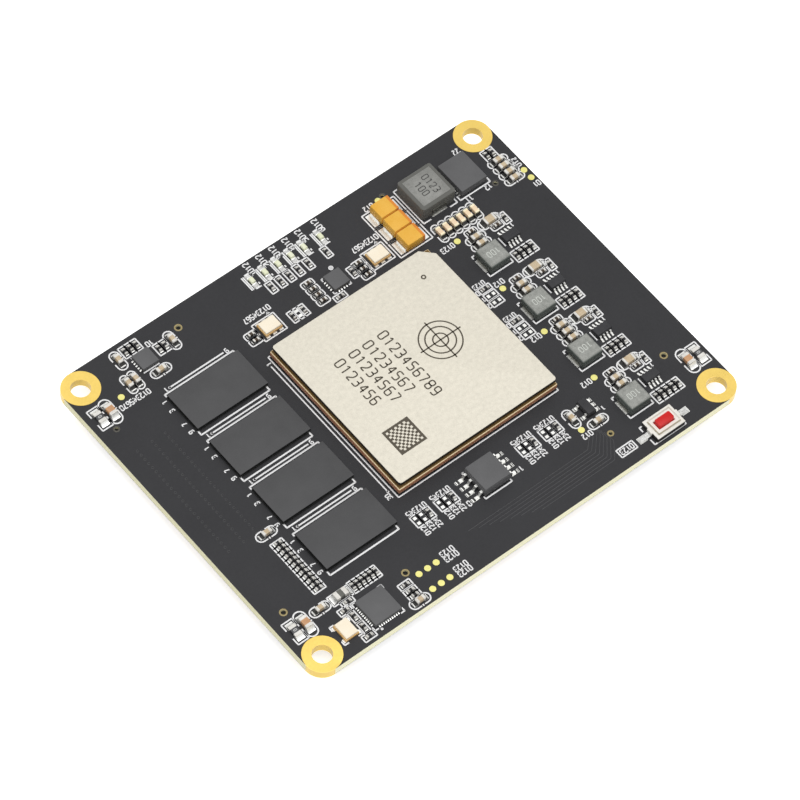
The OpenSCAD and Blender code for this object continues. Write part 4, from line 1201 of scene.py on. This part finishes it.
def print_lid():
    """Plain marking on the array's lid: counting numbers, a first-ball ring, a target and a chequer."""
    settings = bpy.context.scene.core_board_print
    x, y = middle_mm("fpga_lid")
    ink = ink_of("lid_mark", settings.mark)
    pen = Pen()
    for step, count in ((-9.0, 7), (-6.2, 8), (-3.5, 8), (-0.6, 10)):
        pen.number(COUNTING[:count], (x + step, y + 6.7), 1.75, turn=-90, advance=0.8, centred=False)
    pen.ring(0.32, (x + 11.0, y + 11.15))
    target = (x + 5.8, y + 0.75)
    for radius in (1.2, 2.4, 3.4):
        pen.ring(radius, target, 48)
    for turn in (0, 90):
        pen.path([(-3.9, 0), (3.9, 0)], target, turn)
    mesh = pen.strokes(LID_TOP - settings.ink_height, settings.mark_width, settings.ink_height, ink)
    add_piece("lid_marking", mesh, "lid_paint", ink)
    cells, side = 12, 0.41
    work = bmesh.new()
    for i in range(cells):
        for j in range(cells):
            if (i + j) % 2 and 0 < i < cells - 1 and 0 < j < cells - 1:
                continue
            corner = Vector((x - 11.7 + i * side, y - 11.45 + j * side, 0)) * MM
            place = Matrix.Translation(corner + Vector((0, 0, LID_TOP - settings.ink_height / 2)))
            size = Matrix.Diagonal((side * MM, side * MM, settings.ink_height, 1))
            bmesh.ops.create_cube(work, size=1, matrix=place @ size)
    bmesh.ops.remove_doubles(work, verts=work.verts, dist=WELD)
    add_piece("lid_chequer", made_mesh(work, "lid_chequer"), "lid_paint", ink)


def mark_parts():
    """Plain numbers on the tops of the inductors and the large resistors."""
    pen = Pen()
    x, y = middle_mm("power_inductor")
    for text, step in (("100", -0.9), ("0123", 0.9)):
        pen.number(text, (x + step, y), 1.2, turn=-90, advance=0.8)
    add_marking("coil", pen, box_mm("power_inductor")[1].z, 0.16, tint(70, 70, 68), "coil_core")
    pen = Pen()
    chips = islands("resistors_0805")
    for chip in chips:
        pen.number("0", chip.at, 0.5, turn=chip.turn)
    add_marking("resistor", pen, chips[0].high, 0.12, tint(206, 206, 204), "resistor_film")
    pen = Pen()
    for k in range(4):
        pen.number("100", middle_mm(f"buck_inductor_{k + 1}"), 1.0, advance=0.8)
    add_marking("step_down", pen, box_mm("buck_inductor_1")[1].z, 0.14, tint(212, 215, 208), "buck_core")


def add_marking(part, pen, top, width, colour, slot):
    """Puts marks of some width on the tops of parts, in millimetres."""
    ink = ink_of(f"{part}_mark", colour)
    height = bpy.context.scene.core_board_print.ink_height
    add_piece(f"{part}_marking", pen.strokes(top * MM, width * MM, height, ink), slot, ink)


def add_dome():
    """Snap dome under the button, with rounded edges on a mesh of its own."""
    dome = soften("reset_switch_dome", 0.01 * MM)
    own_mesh(dome)


def fold_cover():
    """Pressed fold round the top of the switch's cover, drawn as painted shade on two sides and a painted
    highlight on the other two.
    """
    low, high = box_mm("reset_switch_base")
    left, right = low.x + 0.55, high.x - 0.55
    front, back = low.y + 0.5, high.y - 0.5
    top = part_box("reset_switch_cover")[1].z
    # Painted shade on the left and front lines, painted highlight on the back and right lines.
    for name, colour, path in (
        ("cover_fold_shade", tint(176, 166, 142), [(left, back), (left, front), (right, front)]),
        ("cover_fold_light", tint(226, 218, 206), [(left + 0.3, back), (right, back), (right, front + 0.3)]),
    ):
        pen = Pen()
        pen.path(path, corner=0.06)
        ink = ink_of(name, colour)
        add_piece(name, pen.strokes(top, 0.2 * MM, 0.01 * MM, ink), "switch_cover", ink)


# Board

# Peg holes with a bare and with a dim ring: place and radius, in millimetres
BARE_HOLES = (
    (-20.05, 28.78, 0.45),
    (-20.05, -25.78, 0.45),
    (20.05, -25.78, 0.35),
    (-38.62, -20.05, 0.45),
    (35.62, -20.05, 0.45),
)
DIM_HOLES = ((20.05, 28.78, 0.35), (-38.62, 20.05, 0.35), (35.62, 20.05, 0.35))


def ring_holes():
    """Rings of bare or masked laminate round the peg holes."""
    for name, colour, holes in (
        ("peg_hole_rings", tint(166, 150, 104), BARE_HOLES),
        ("dim_peg_hole_rings", tint(78, 75, 68), DIM_HOLES),
    ):
        rings = Pen()
        for x, y, radius in holes:
            rings.ring(radius + 0.08, (x, y), 20)
        bare = ink_of(name, colour)
        add_piece(name, rings.strokes(TOP, 0.26 * MM, 0.01 * MM, bare), "solder_mask", bare)


def add_relief(name, pen, ink, share):
    """Puts fine relief on the mask, in a tone lighter or darker than it."""
    colour = shade(bpy.context.scene.core_board_finish.mask, share)
    relief = ink_of(ink, colour, (0.4, 0.5))
    add_piece(name, pen.strokes(TOP, 0.12 * MM, 0.008 * MM, relief), "solder_mask", relief)


def add_board_details():
    """Rings round the peg holes, and the relief of tracks and tented vias under the mask."""
    ring_holes()
    tracks = Pen()
    for k in range(8):
        y = -25.9 - 0.55 * k
        bend, end = 15.4 + 0.3 * k, 18.2 + 0.2 * k
        tracks.path([(-8 + 1.6 * k, y), (bend, y), (end, y + 2.7), (end, y + 4.2)], corner=0.2)
    add_relief("track_relief", tracks, "track_mask", 1.25)
    vias = Pen()
    for x in (-38.5, -35.7, -33.2):
        for k in range(25):
            vias.ring(0.2, (x, -7 + 0.92 * k), 10)
    add_relief("tented_vias", vias, "via_mask", 0.7)


# Solder


def shape_object(name, mesh):
    """Loose object that a node tree takes as its shape."""
    holder = bpy.data.objects.new(name, mesh)
    bpy.context.scene.collection.objects.link(holder)
    return holder


def closed_shape(name, corners, faces):
    """Shape of corners and faces, with its faces turned outwards."""
    loose = bpy.data.meshes.new("loose")
    loose.from_pydata(corners, [], faces)
    work = bmesh.new()
    work.from_mesh(loose)
    bpy.data.meshes.remove(loose)
    bmesh.ops.recalc_face_normals(work, faces=work.faces)
    mesh = made_mesh(work, name)
    smooth(mesh)
    return shape_object(name, mesh)


def fillet_shape():
    """Hollow-faced wedge of solder, one unit long, wide and high, that leans on x = 0."""
    steps = 4
    rise = [(k / steps, (1 - k / steps) ** 2) for k in range(steps + 1)]
    outline = [(0.0, 0.0)] + rise
    count = len(outline)
    corners = [(x, side, z) for side in (-0.5, 0.5) for x, z in outline]
    faces = [list(range(count)), list(range(2 * count - 1, count - 1, -1))]
    for k in range(count):
        after = (k + 1) % count
        faces.append([k, after, count + after, count + k])
    return closed_shape("fillet_shape", corners, faces)


def ball_shape():
    """Soldered ball, one unit wide and high, flat where it meets the pads."""
    sides, levels = 10, 5
    corners = []
    for level in range(levels + 1):
        z = level / levels - 0.5
        radius = 0.34 + 0.16 * math.cos(math.pi * z)
        for k in range(sides):
            angle = 2 * math.pi * k / sides
            corners.append((radius * math.cos(angle), radius * math.sin(angle), z))
    faces = [list(range(sides)), list(range(sides * levels, sides * (levels + 1)))]
    for level in range(levels):
        for k in range(sides):
            after = (k + 1) % sides
            first, second = level * sides, (level + 1) * sides
            faces.append([first + k, first + after, second + after, second + k])
    return closed_shape("ball_shape", corners, faces)


def set_on_points(shape, places, material, scale=(1, 1, 1)):
    """Mesh of a shape set on places of (point, size, turn), with the shape's object removed."""
    mesh = bpy.data.meshes.new("points")
    mesh.from_pydata([place[0] for place in places], [], [])
    for name, column in (("size", 1), ("turn", 2)):
        attribute = mesh.attributes.new(name, "FLOAT_VECTOR", "POINT")
        attribute.data.foreach_set("vector", [value for place in places for value in place[column]])
    made = run_tree(setting_tree(), mesh, {"Shape": shape, "Scale": scale, "Material": material})
    data = shape.data
    bpy.data.objects.remove(shape)
    bpy.data.meshes.remove(data)
    return made


# Finish of the solder on the ends of the chips that don't get the painted dark reflection and toe highlight
# of drawn_solder
END_SOLDER = {
    "capacitors_0805": "tinned",
    "resistors_0402": "tinned",
    "resistors_0805": "tinned",
    "ferrite_bead": "tinned",
    "indicator_leds": "soldered_lead",
}

# Leads: node, chip, pad past the toe, pad width and lead thickness, in millimetres
LEADED_CHIPS = (
    ("flash_leads", "flash_memory", 0.65, 0.66, 0.2),
    ("linear_regulator_leads", "linear_regulator", 0.3, 0.64, 0.13),
)

# Flat terminals: how far their pads reach past the moulding, their solder's height and a hair's play
BAR_PAST = 0.28
BAR_RISE = 0.14
FLUSH = 0.02


def past_end(chip, reach, turn, z):
    """Point at some reach from the middle of a chip, at a height in metres."""
    return Vector(((chip.x + reach * math.cos(turn)) * MM, (chip.y + reach * math.sin(turn)) * MM, z))


def end_fillets(places):
    """Solder drawn up the ends of the two-ended chips."""
    for node, (length, width, height, pad_end) in SMALL_CHIPS.items():
        under = node == "underside_capacitors"
        face = UNDER - PAD_T if under else PAD_TOP
        size = ((pad_end - length / 2 - 0.04) * MM, (width + 0.06) * MM, 0.75 * height * MM)
        for chip in islands(node):
            for end in (0, 180):
                turn = math.radians(chip.turn + end)
                spin = (math.pi, 0, -turn) if under else (0, 0, turn)
                point = past_end(chip, length / 2, turn, face)
                places[END_SOLDER.get(node, "drawn_solder")].append((point, size, spin))


def toe_fillets(places):
    """Solder before the toes of the bent leads."""
    for node, chip, past, width, thick in LEADED_CHIPS:
        middle = middle_mm(chip)[0]
        size = ((past - 0.06) * MM, (width - 0.06) * MM, thick * MM)
        for lead in islands(node):
            turn = 0 if lead.x > middle else math.pi
            point = past_end(lead, lead.w / 2, turn, PAD_TOP)
            places["drawn_solder"].append((point, size, (0, 0, turn)))


def bar_fillets(places):
    """Solder at the flat terminals that end flush with the sides of the leadless chips."""
    for node in ("controller_chip", "clock_buffer", "termination_regulator"):
        low, high = box_mm(node)
        for bar in islands("leadless_terminals"):
            if not (low.x < bar.x < high.x and low.y < bar.y < high.y):
                continue
            for past, degrees, along, across in (
                (bar.x + bar.w / 2 - high.x, 0, bar.w, bar.d),
                (bar.y + bar.d / 2 - high.y, 90, bar.d, bar.w),
                (low.x - bar.x + bar.w / 2, 180, bar.w, bar.d),
                (low.y - bar.y + bar.d / 2, 270, bar.d, bar.w),
            ):
                if abs(past) <= FLUSH:
                    turn = math.radians(degrees)
                    size = Vector((BAR_PAST, across, BAR_RISE)) * MM
                    places["tinned"].append((past_end(bar, along / 2, turn, PAD_TOP), size, (0, 0, turn)))


def add_fillets():
    """Solder on the ends of the chips, the toes of the leads and the flat terminals."""
    places = {"tinned": [], "soldered_lead": [], "drawn_solder": []}
    end_fillets(places)
    toe_fillets(places)
    bar_fillets(places)
    for name, finish in (
        ("bright_solder", "tinned"),
        ("light_solder", "soldered_lead"),
        ("drawn_solder", "drawn_solder"),
    ):
        material = finish_of(finish)
        add_piece(name, set_on_points(fillet_shape(), places[finish], material), "tinned", material)


# Length of the tinned ends of the two-ended chips, in millimetres
END_CAPS = {
    "capacitors_0402": 0.28,
    "capacitors_0603": 0.46,
    "capacitors_0805": 0.55,
    "resistors_0402": 0.28,
    "resistors_0805": 0.6,
    "ferrite_bead": 0.7,
}
PALE_CAP = 0.34
CAP_PROUD = 0.012


def cap_shape():
    """Round-edged end cap, one unit long, wide and high, whose end is at x = 0."""
    work = bmesh.new()
    bmesh.ops.create_cube(work, size=1, matrix=Matrix.Translation((-0.5, 0, 0.5)))
    bmesh.ops.bevel(work, geom=work.edges, offset=0.07, segments=1, profile=0.5, affect="EDGES")
    return shape_object("cap_shape", made_mesh(work, "cap_shape"))


def add_end_caps():
    """Tin over the ends of the two-ended chips, warmer in the pale row."""
    white, pale = [], []
    for node, reach in END_CAPS.items():
        length, width, height, _ = SMALL_CHIPS[node]
        for chip in islands(node):
            in_row = node == "capacitors_0603" and in_pale_row(chip)
            cap = PALE_CAP if in_row else reach
            size = Vector((cap, width + 2 * CAP_PROUD, height + CAP_PROUD)) * MM
            for end in (0, 180):
                turn = math.radians(chip.turn + end)
                point = past_end(chip, length / 2 + CAP_PROUD, turn, PAD_TOP)
                (pale if in_row else white).append((point, size, (0, 0, turn)))
    for name, places, finish in (("end_tin", white, "chip_ends"), ("pale_end_tin", pale, "pale_ends")):
        material = finish_of(finish)
        add_piece(name, set_on_points(cap_shape(), places, material), "tinned", material)


def add_balls(node):
    """Barrel-shaped balls in place of a package's plain ones."""
    found = islands(node)
    ball = found[0]
    middle = (ball.low + ball.high) / 2 * MM
    places = [(past_end(each, 0, 0, middle), (1, 1, 1), (0, 0, 0)) for each in found]
    scale = (ball.w * MM, ball.d * MM, (ball.high - ball.low) * MM)
    mesh = set_on_points(ball_shape(), places, finish_of("solder"), scale)
    add_piece(f"{node}_barrels", mesh, "solder", stands_for=(node,))


# Stage

# Places of the lamps, and the floor's half side, level and glow
KEY_PLACE = (-0.06, -0.1, 0.8)
UNDER_PLACE = (0.15, -0.2, -0.6)
FLOOR_REACH = 4.0
FLOOR_LEVEL = -0.02 * MM
FLOOR_GLOW = 0.68


def add_lamp(name, power, size, place, aim):
    """Square lamp that faces a point."""
    lamp = bpy.data.lights.new(name, "AREA")
    lamp.energy = power
    lamp.size = size
    holder = bpy.data.objects.new(name, lamp)
    holder.location = place
    holder.rotation_euler = (aim - Vector(place)).to_track_quat("-Z", "Y").to_euler()
    bpy.context.scene.collection.objects.link(holder)


def seen_directly(tree):
    """Output that is 1 for what the camera, a mirror or glass sees."""
    path = tree.nodes.new("ShaderNodeLightPath")
    total = path.outputs["Is Camera Ray"]
    for name in ("Is Glossy Ray", "Is Transmission Ray"):
        total = math_node(tree, "MAXIMUM", total, path.outputs[name])
    return total


def set_sky(level):
    """Even light all round, seen as white."""
    world = bpy.data.worlds.new("studio")
    bpy.context.scene.world = world
    world.use_nodes = True
    nodes, links = world.node_tree.nodes, world.node_tree.links
    dim = nodes["Background"]
    dim.inputs["Color"].default_value = (1, 1, 1, 1)
    dim.inputs["Strength"].default_value = level
    white = nodes.new("ShaderNodeBackground")
    white.inputs["Color"].default_value = (1, 1, 1, 1)
    mix = nodes.new("ShaderNodeMixShader")
    links.new(seen_directly(world.node_tree), mix.inputs["Fac"])
    links.new(dim.outputs["Background"], mix.inputs[1])
    links.new(white.outputs["Background"], mix.inputs[2])
    links.new(mix.outputs["Shader"], nodes["World Output"].inputs["Surface"])


def add_floor(colour):
    """Pale floor that keeps the shadow, and is clear from below and to the lamp there."""
    outline = ((-1, -1), (1, -1), (1, 1), (-1, 1))
    mesh = bpy.data.meshes.new("floor")
    corners = [(x * FLOOR_REACH, y * FLOOR_REACH, FLOOR_LEVEL) for x, y in outline]
    mesh.from_pydata(corners, [], [(0, 1, 2, 3)])
    finish = Finish("floor", colour, shade(colour, 0.98), (0.8, 0.9), (3, 40))
    tree, nodes, links = finish.tree, finish.nodes, finish.links
    glow = nodes.new("ShaderNodeEmission")
    links.new(math_node(tree, "MULTIPLY", seen_directly(tree), FLOOR_GLOW), glow.inputs["Strength"])
    lit = nodes.new("ShaderNodeAddShader")
    links.new(finish.shader.outputs["BSDF"], lit.inputs[0])
    links.new(glow.outputs["Emission"], lit.inputs[1])
    side = nodes.new("ShaderNodeNewGeometry")
    path = nodes.new("ShaderNodeLightPath")
    let_through = math_node(tree, "MAXIMUM", side.outputs["Backfacing"], path.outputs["Is Shadow Ray"])
    clear = nodes.new("ShaderNodeBsdfTransparent")
    mix = nodes.new("ShaderNodeMixShader")
    links.new(let_through, mix.inputs["Fac"])
    links.new(lit.outputs["Shader"], mix.inputs[1])
    links.new(clear.outputs["BSDF"], mix.inputs[2])
    links.new(mix.outputs["Shader"], nodes["Material Output"].inputs["Surface"])
    mesh.materials.append(finish.material)
    holder = bpy.data.objects.new("floor", mesh)
    bpy.context.scene.collection.objects.link(holder)


def add_camera(stage):
    """Camera at the stage's heading, height and roll."""
    camera = bpy.data.cameras.new("camera")
    camera.lens = stage.lens
    camera.sensor_width = 36
    camera.clip_start = 0.01
    holder = bpy.data.objects.new("camera", camera)
    aim = Vector((stage.aim_x, stage.aim_y, TOP))
    level = math.cos(stage.elevation)
    forward = Vector(
        (level * math.sin(stage.heading), level * math.cos(stage.heading), -math.sin(stage.elevation))
    )
    holder.location = aim - forward * stage.distance
    look = Euler((math.pi / 2 - stage.elevation, 0, -stage.heading)).to_matrix()
    holder.rotation_euler = (look @ Matrix.Rotation(stage.roll, 3, "Z")).to_euler()
    bpy.context.scene.collection.objects.link(holder)
    bpy.context.scene.camera = holder


# Operators


class DressBoard(bpy.types.Operator):
    """Finish the board, its plated corners and its pads"""

    bl_idname = "core_board.dress_board"
    bl_label = "Board"

    def execute(self, context):
        dress("circuit_board", "hole_plating", "test_pads", "solder_pads")
        add_board_details()
        return {"FINISHED"}


class PrintBoard(bpy.types.Operator):
    """Print the outlines and numbers on the board"""

    bl_idname = "core_board.print_board"
    bl_label = "Print"

    def execute(self, context):
        print_board()
        return {"FINISHED"}


class DressArray(bpy.types.Operator):
    """Finish the logic array's package and mark its lid"""

    bl_idname = "core_board.dress_array"
    bl_label = "Logic array"

    def execute(self, context):
        dress("fpga_die", "fpga_thermal_pad")
        soften("fpga_substrate", context.scene.core_board_finish.substrate_edge)
        sink = context.scene.core_board_print.ink_height
        soften("fpga_lid", context.scene.core_board_finish.lid_edge, sink=sink)
        add_balls("fpga_solder_balls")
        print_lid()
        return {"FINISHED"}


class DressMemory(bpy.types.Operator):
    """Finish the four memory chips"""

    bl_idname = "core_board.dress_memory"
    bl_label = "Memory chips"

    def execute(self, context):
        dress("memory_substrates")
        for k in range(4):
            soften(f"memory_chip_{k + 1}", context.scene.core_board_finish.chip_edge)
        add_balls("memory_solder_balls")
        return {"FINISHED"}


class DressSupplies(bpy.types.Operator):
    """Finish the converter, the inductors and the tantalum capacitors"""

    bl_idname = "core_board.dress_supplies"
    bl_label = "Supplies"

    def execute(self, context):
        finish = context.scene.core_board_finish
        dress("tantalum_terminals", "buck_regulator_leads")
        for node in ("power_inductor_terminals", "buck_inductor_terminals"):
            dress(node, finish="coil_clips")
        soften("power_converter", finish.chip_edge)
        soften("power_inductor", finish.chip_edge, rim=(0.35 * MM, 0.16 * MM))
        soften("tantalum_capacitors", finish.lid_edge)
        for k in range(4):
            soften(f"buck_inductor_{k + 1}", finish.chip_edge)
        soften("buck_regulators", finish.small_edge, "chip_mould_dark")
        mark_parts()
        return {"FINISHED"}


class DressChips(bpy.types.Operator):
    """Finish the leaded and leadless chips, the clocks and the indicator lights"""

    bl_idname = "core_board.dress_chips"
    bl_label = "Chips"

    def execute(self, context):
        finish = context.scene.core_board_finish
        dress("flash_leads", "linear_regulator_leads", "leadless_terminals")
        for node in ("flash_memory", "controller_chip", "clock_buffer", "termination_regulator"):
            soften(node, finish.chip_edge)
        soften("linear_regulator", finish.small_edge, "chip_mould_dark")
        for node in ("oscillator_bases", "oscillator_lids", "crystal_base", "crystal_lid"):
            soften(node, finish.small_edge)
        for node in ("indicator_leds", "indicator_led_terminals"):
            soften(node, finish.small_edge)
        return {"FINISHED"}


class DressSmallChips(bpy.types.Operator):
    """Finish the capacitors, resistors and the bead, and draw solder up their ends"""

    bl_idname = "core_board.dress_small_chips"
    bl_label = "Small chips"

    def execute(self, context):
        edge = context.scene.core_board_finish.small_edge
        for node in (
            "capacitors_0603", "capacitors_0805", "input_capacitors", "resistors_0402", "ferrite_bead",
        ):
            soften(node, edge)
        soften("resistors_0805", edge, "large_film")
        for node in ("capacitors_0402", "underside_capacitors"):
            soften(node, edge, "small_ceramic")
        for node in ("capacitor_terminals", "resistor_terminals", "ferrite_bead_terminals"):
            soften(node, edge, "chip_ends")
        add_end_caps()
        add_fillets()
        return {"FINISHED"}


class DressSwitch(bpy.types.Operator):
    """Finish the reset switch and its red button"""

    bl_idname = "core_board.dress_switch"
    bl_label = "Reset switch"

    def execute(self, context):
        edge = context.scene.core_board_finish.small_edge
        dress("reset_switch_leads", finish="soldered_lead")
        soften("reset_switch_base", edge)
        soften("reset_switch_cover", edge)
        soften("reset_button", context.scene.core_board_finish.lid_edge, body="reset_button")
        fold_cover()
        add_dome()
        return {"FINISHED"}


class DressPlugs(bpy.types.Operator):
    """Finish the board-to-board plugs and their contacts"""

    bl_idname = "core_board.dress_plugs"
    bl_label = "Plugs"

    def execute(self, context):
        dress("plug_contacts")
        soften("plug_housings", context.scene.core_board_finish.chip_edge)
        return {"FINISHED"}


class SetStage(bpy.types.Operator):
    """Set the camera, the lamps and the floor"""

    bl_idname = "core_board.set_stage"
    bl_label = "Stage"

    def execute(self, context):
        stage = context.scene.core_board_stage
        add_camera(stage)
        set_sky(stage.sky)
        middle = Vector((0, 0, TOP))
        add_lamp("key", stage.key_power, stage.key_size, KEY_PLACE, middle)
        add_lamp("under", stage.under_power, stage.under_size, UNDER_PLACE, middle)
        add_floor(stage.floor)
        context.scene.view_settings.view_transform = "Standard"
        return {"FINISHED"}


STEPS = (
    DressBoard,
    PrintBoard,
    DressArray,
    DressMemory,
    DressSupplies,
    DressChips,
    DressSmallChips,
    DressSwitch,
    DressPlugs,
    SetStage,
)


class CoreBoardPanel(bpy.types.Panel):
    """Steps and settings of the core board's looks"""

    bl_idname = "VIEW3D_PT_core_board"
    bl_label = "Core board"
    bl_space_type = "VIEW_3D"
    bl_region_type = "UI"
    bl_category = "Core board"

    def draw(self, context):
        for step in STEPS:
            self.layout.operator(step.bl_idname)
        for name in SETTINGS:
            group = getattr(context.scene, name)
            box = self.layout.box()
            for setting in group.bl_rna.properties:
                if setting.identifier not in ("rna_type", "name"):
                    box.prop(group, setting.identifier)


SETTINGS = {
    "core_board_print": CoreBoardPrint,
    "core_board_finish": CoreBoardFinish,
    "core_board_stage": CoreBoardStage,
}


def register():
    for name, group in SETTINGS.items():
        bpy.utils.register_class(group)
        setattr(bpy.types.Scene, name, bpy.props.PointerProperty(type=group))
    for step in STEPS:
        bpy.utils.register_class(step)
    bpy.utils.register_class(CoreBoardPanel)


def unregister():
    bpy.utils.unregister_class(CoreBoardPanel)
    for step in reversed(STEPS):
        bpy.utils.unregister_class(step)
    for name, group in SETTINGS.items():
        delattr(bpy.types.Scene, name)
        bpy.utils.unregister_class(group)


def main():
    """Dresses the board step by step."""
    register()
    for step in STEPS:
        group, name = step.bl_idname.split(".")
        getattr(getattr(bpy.ops, group), name)()


if __name__ == "__main__":
    main()
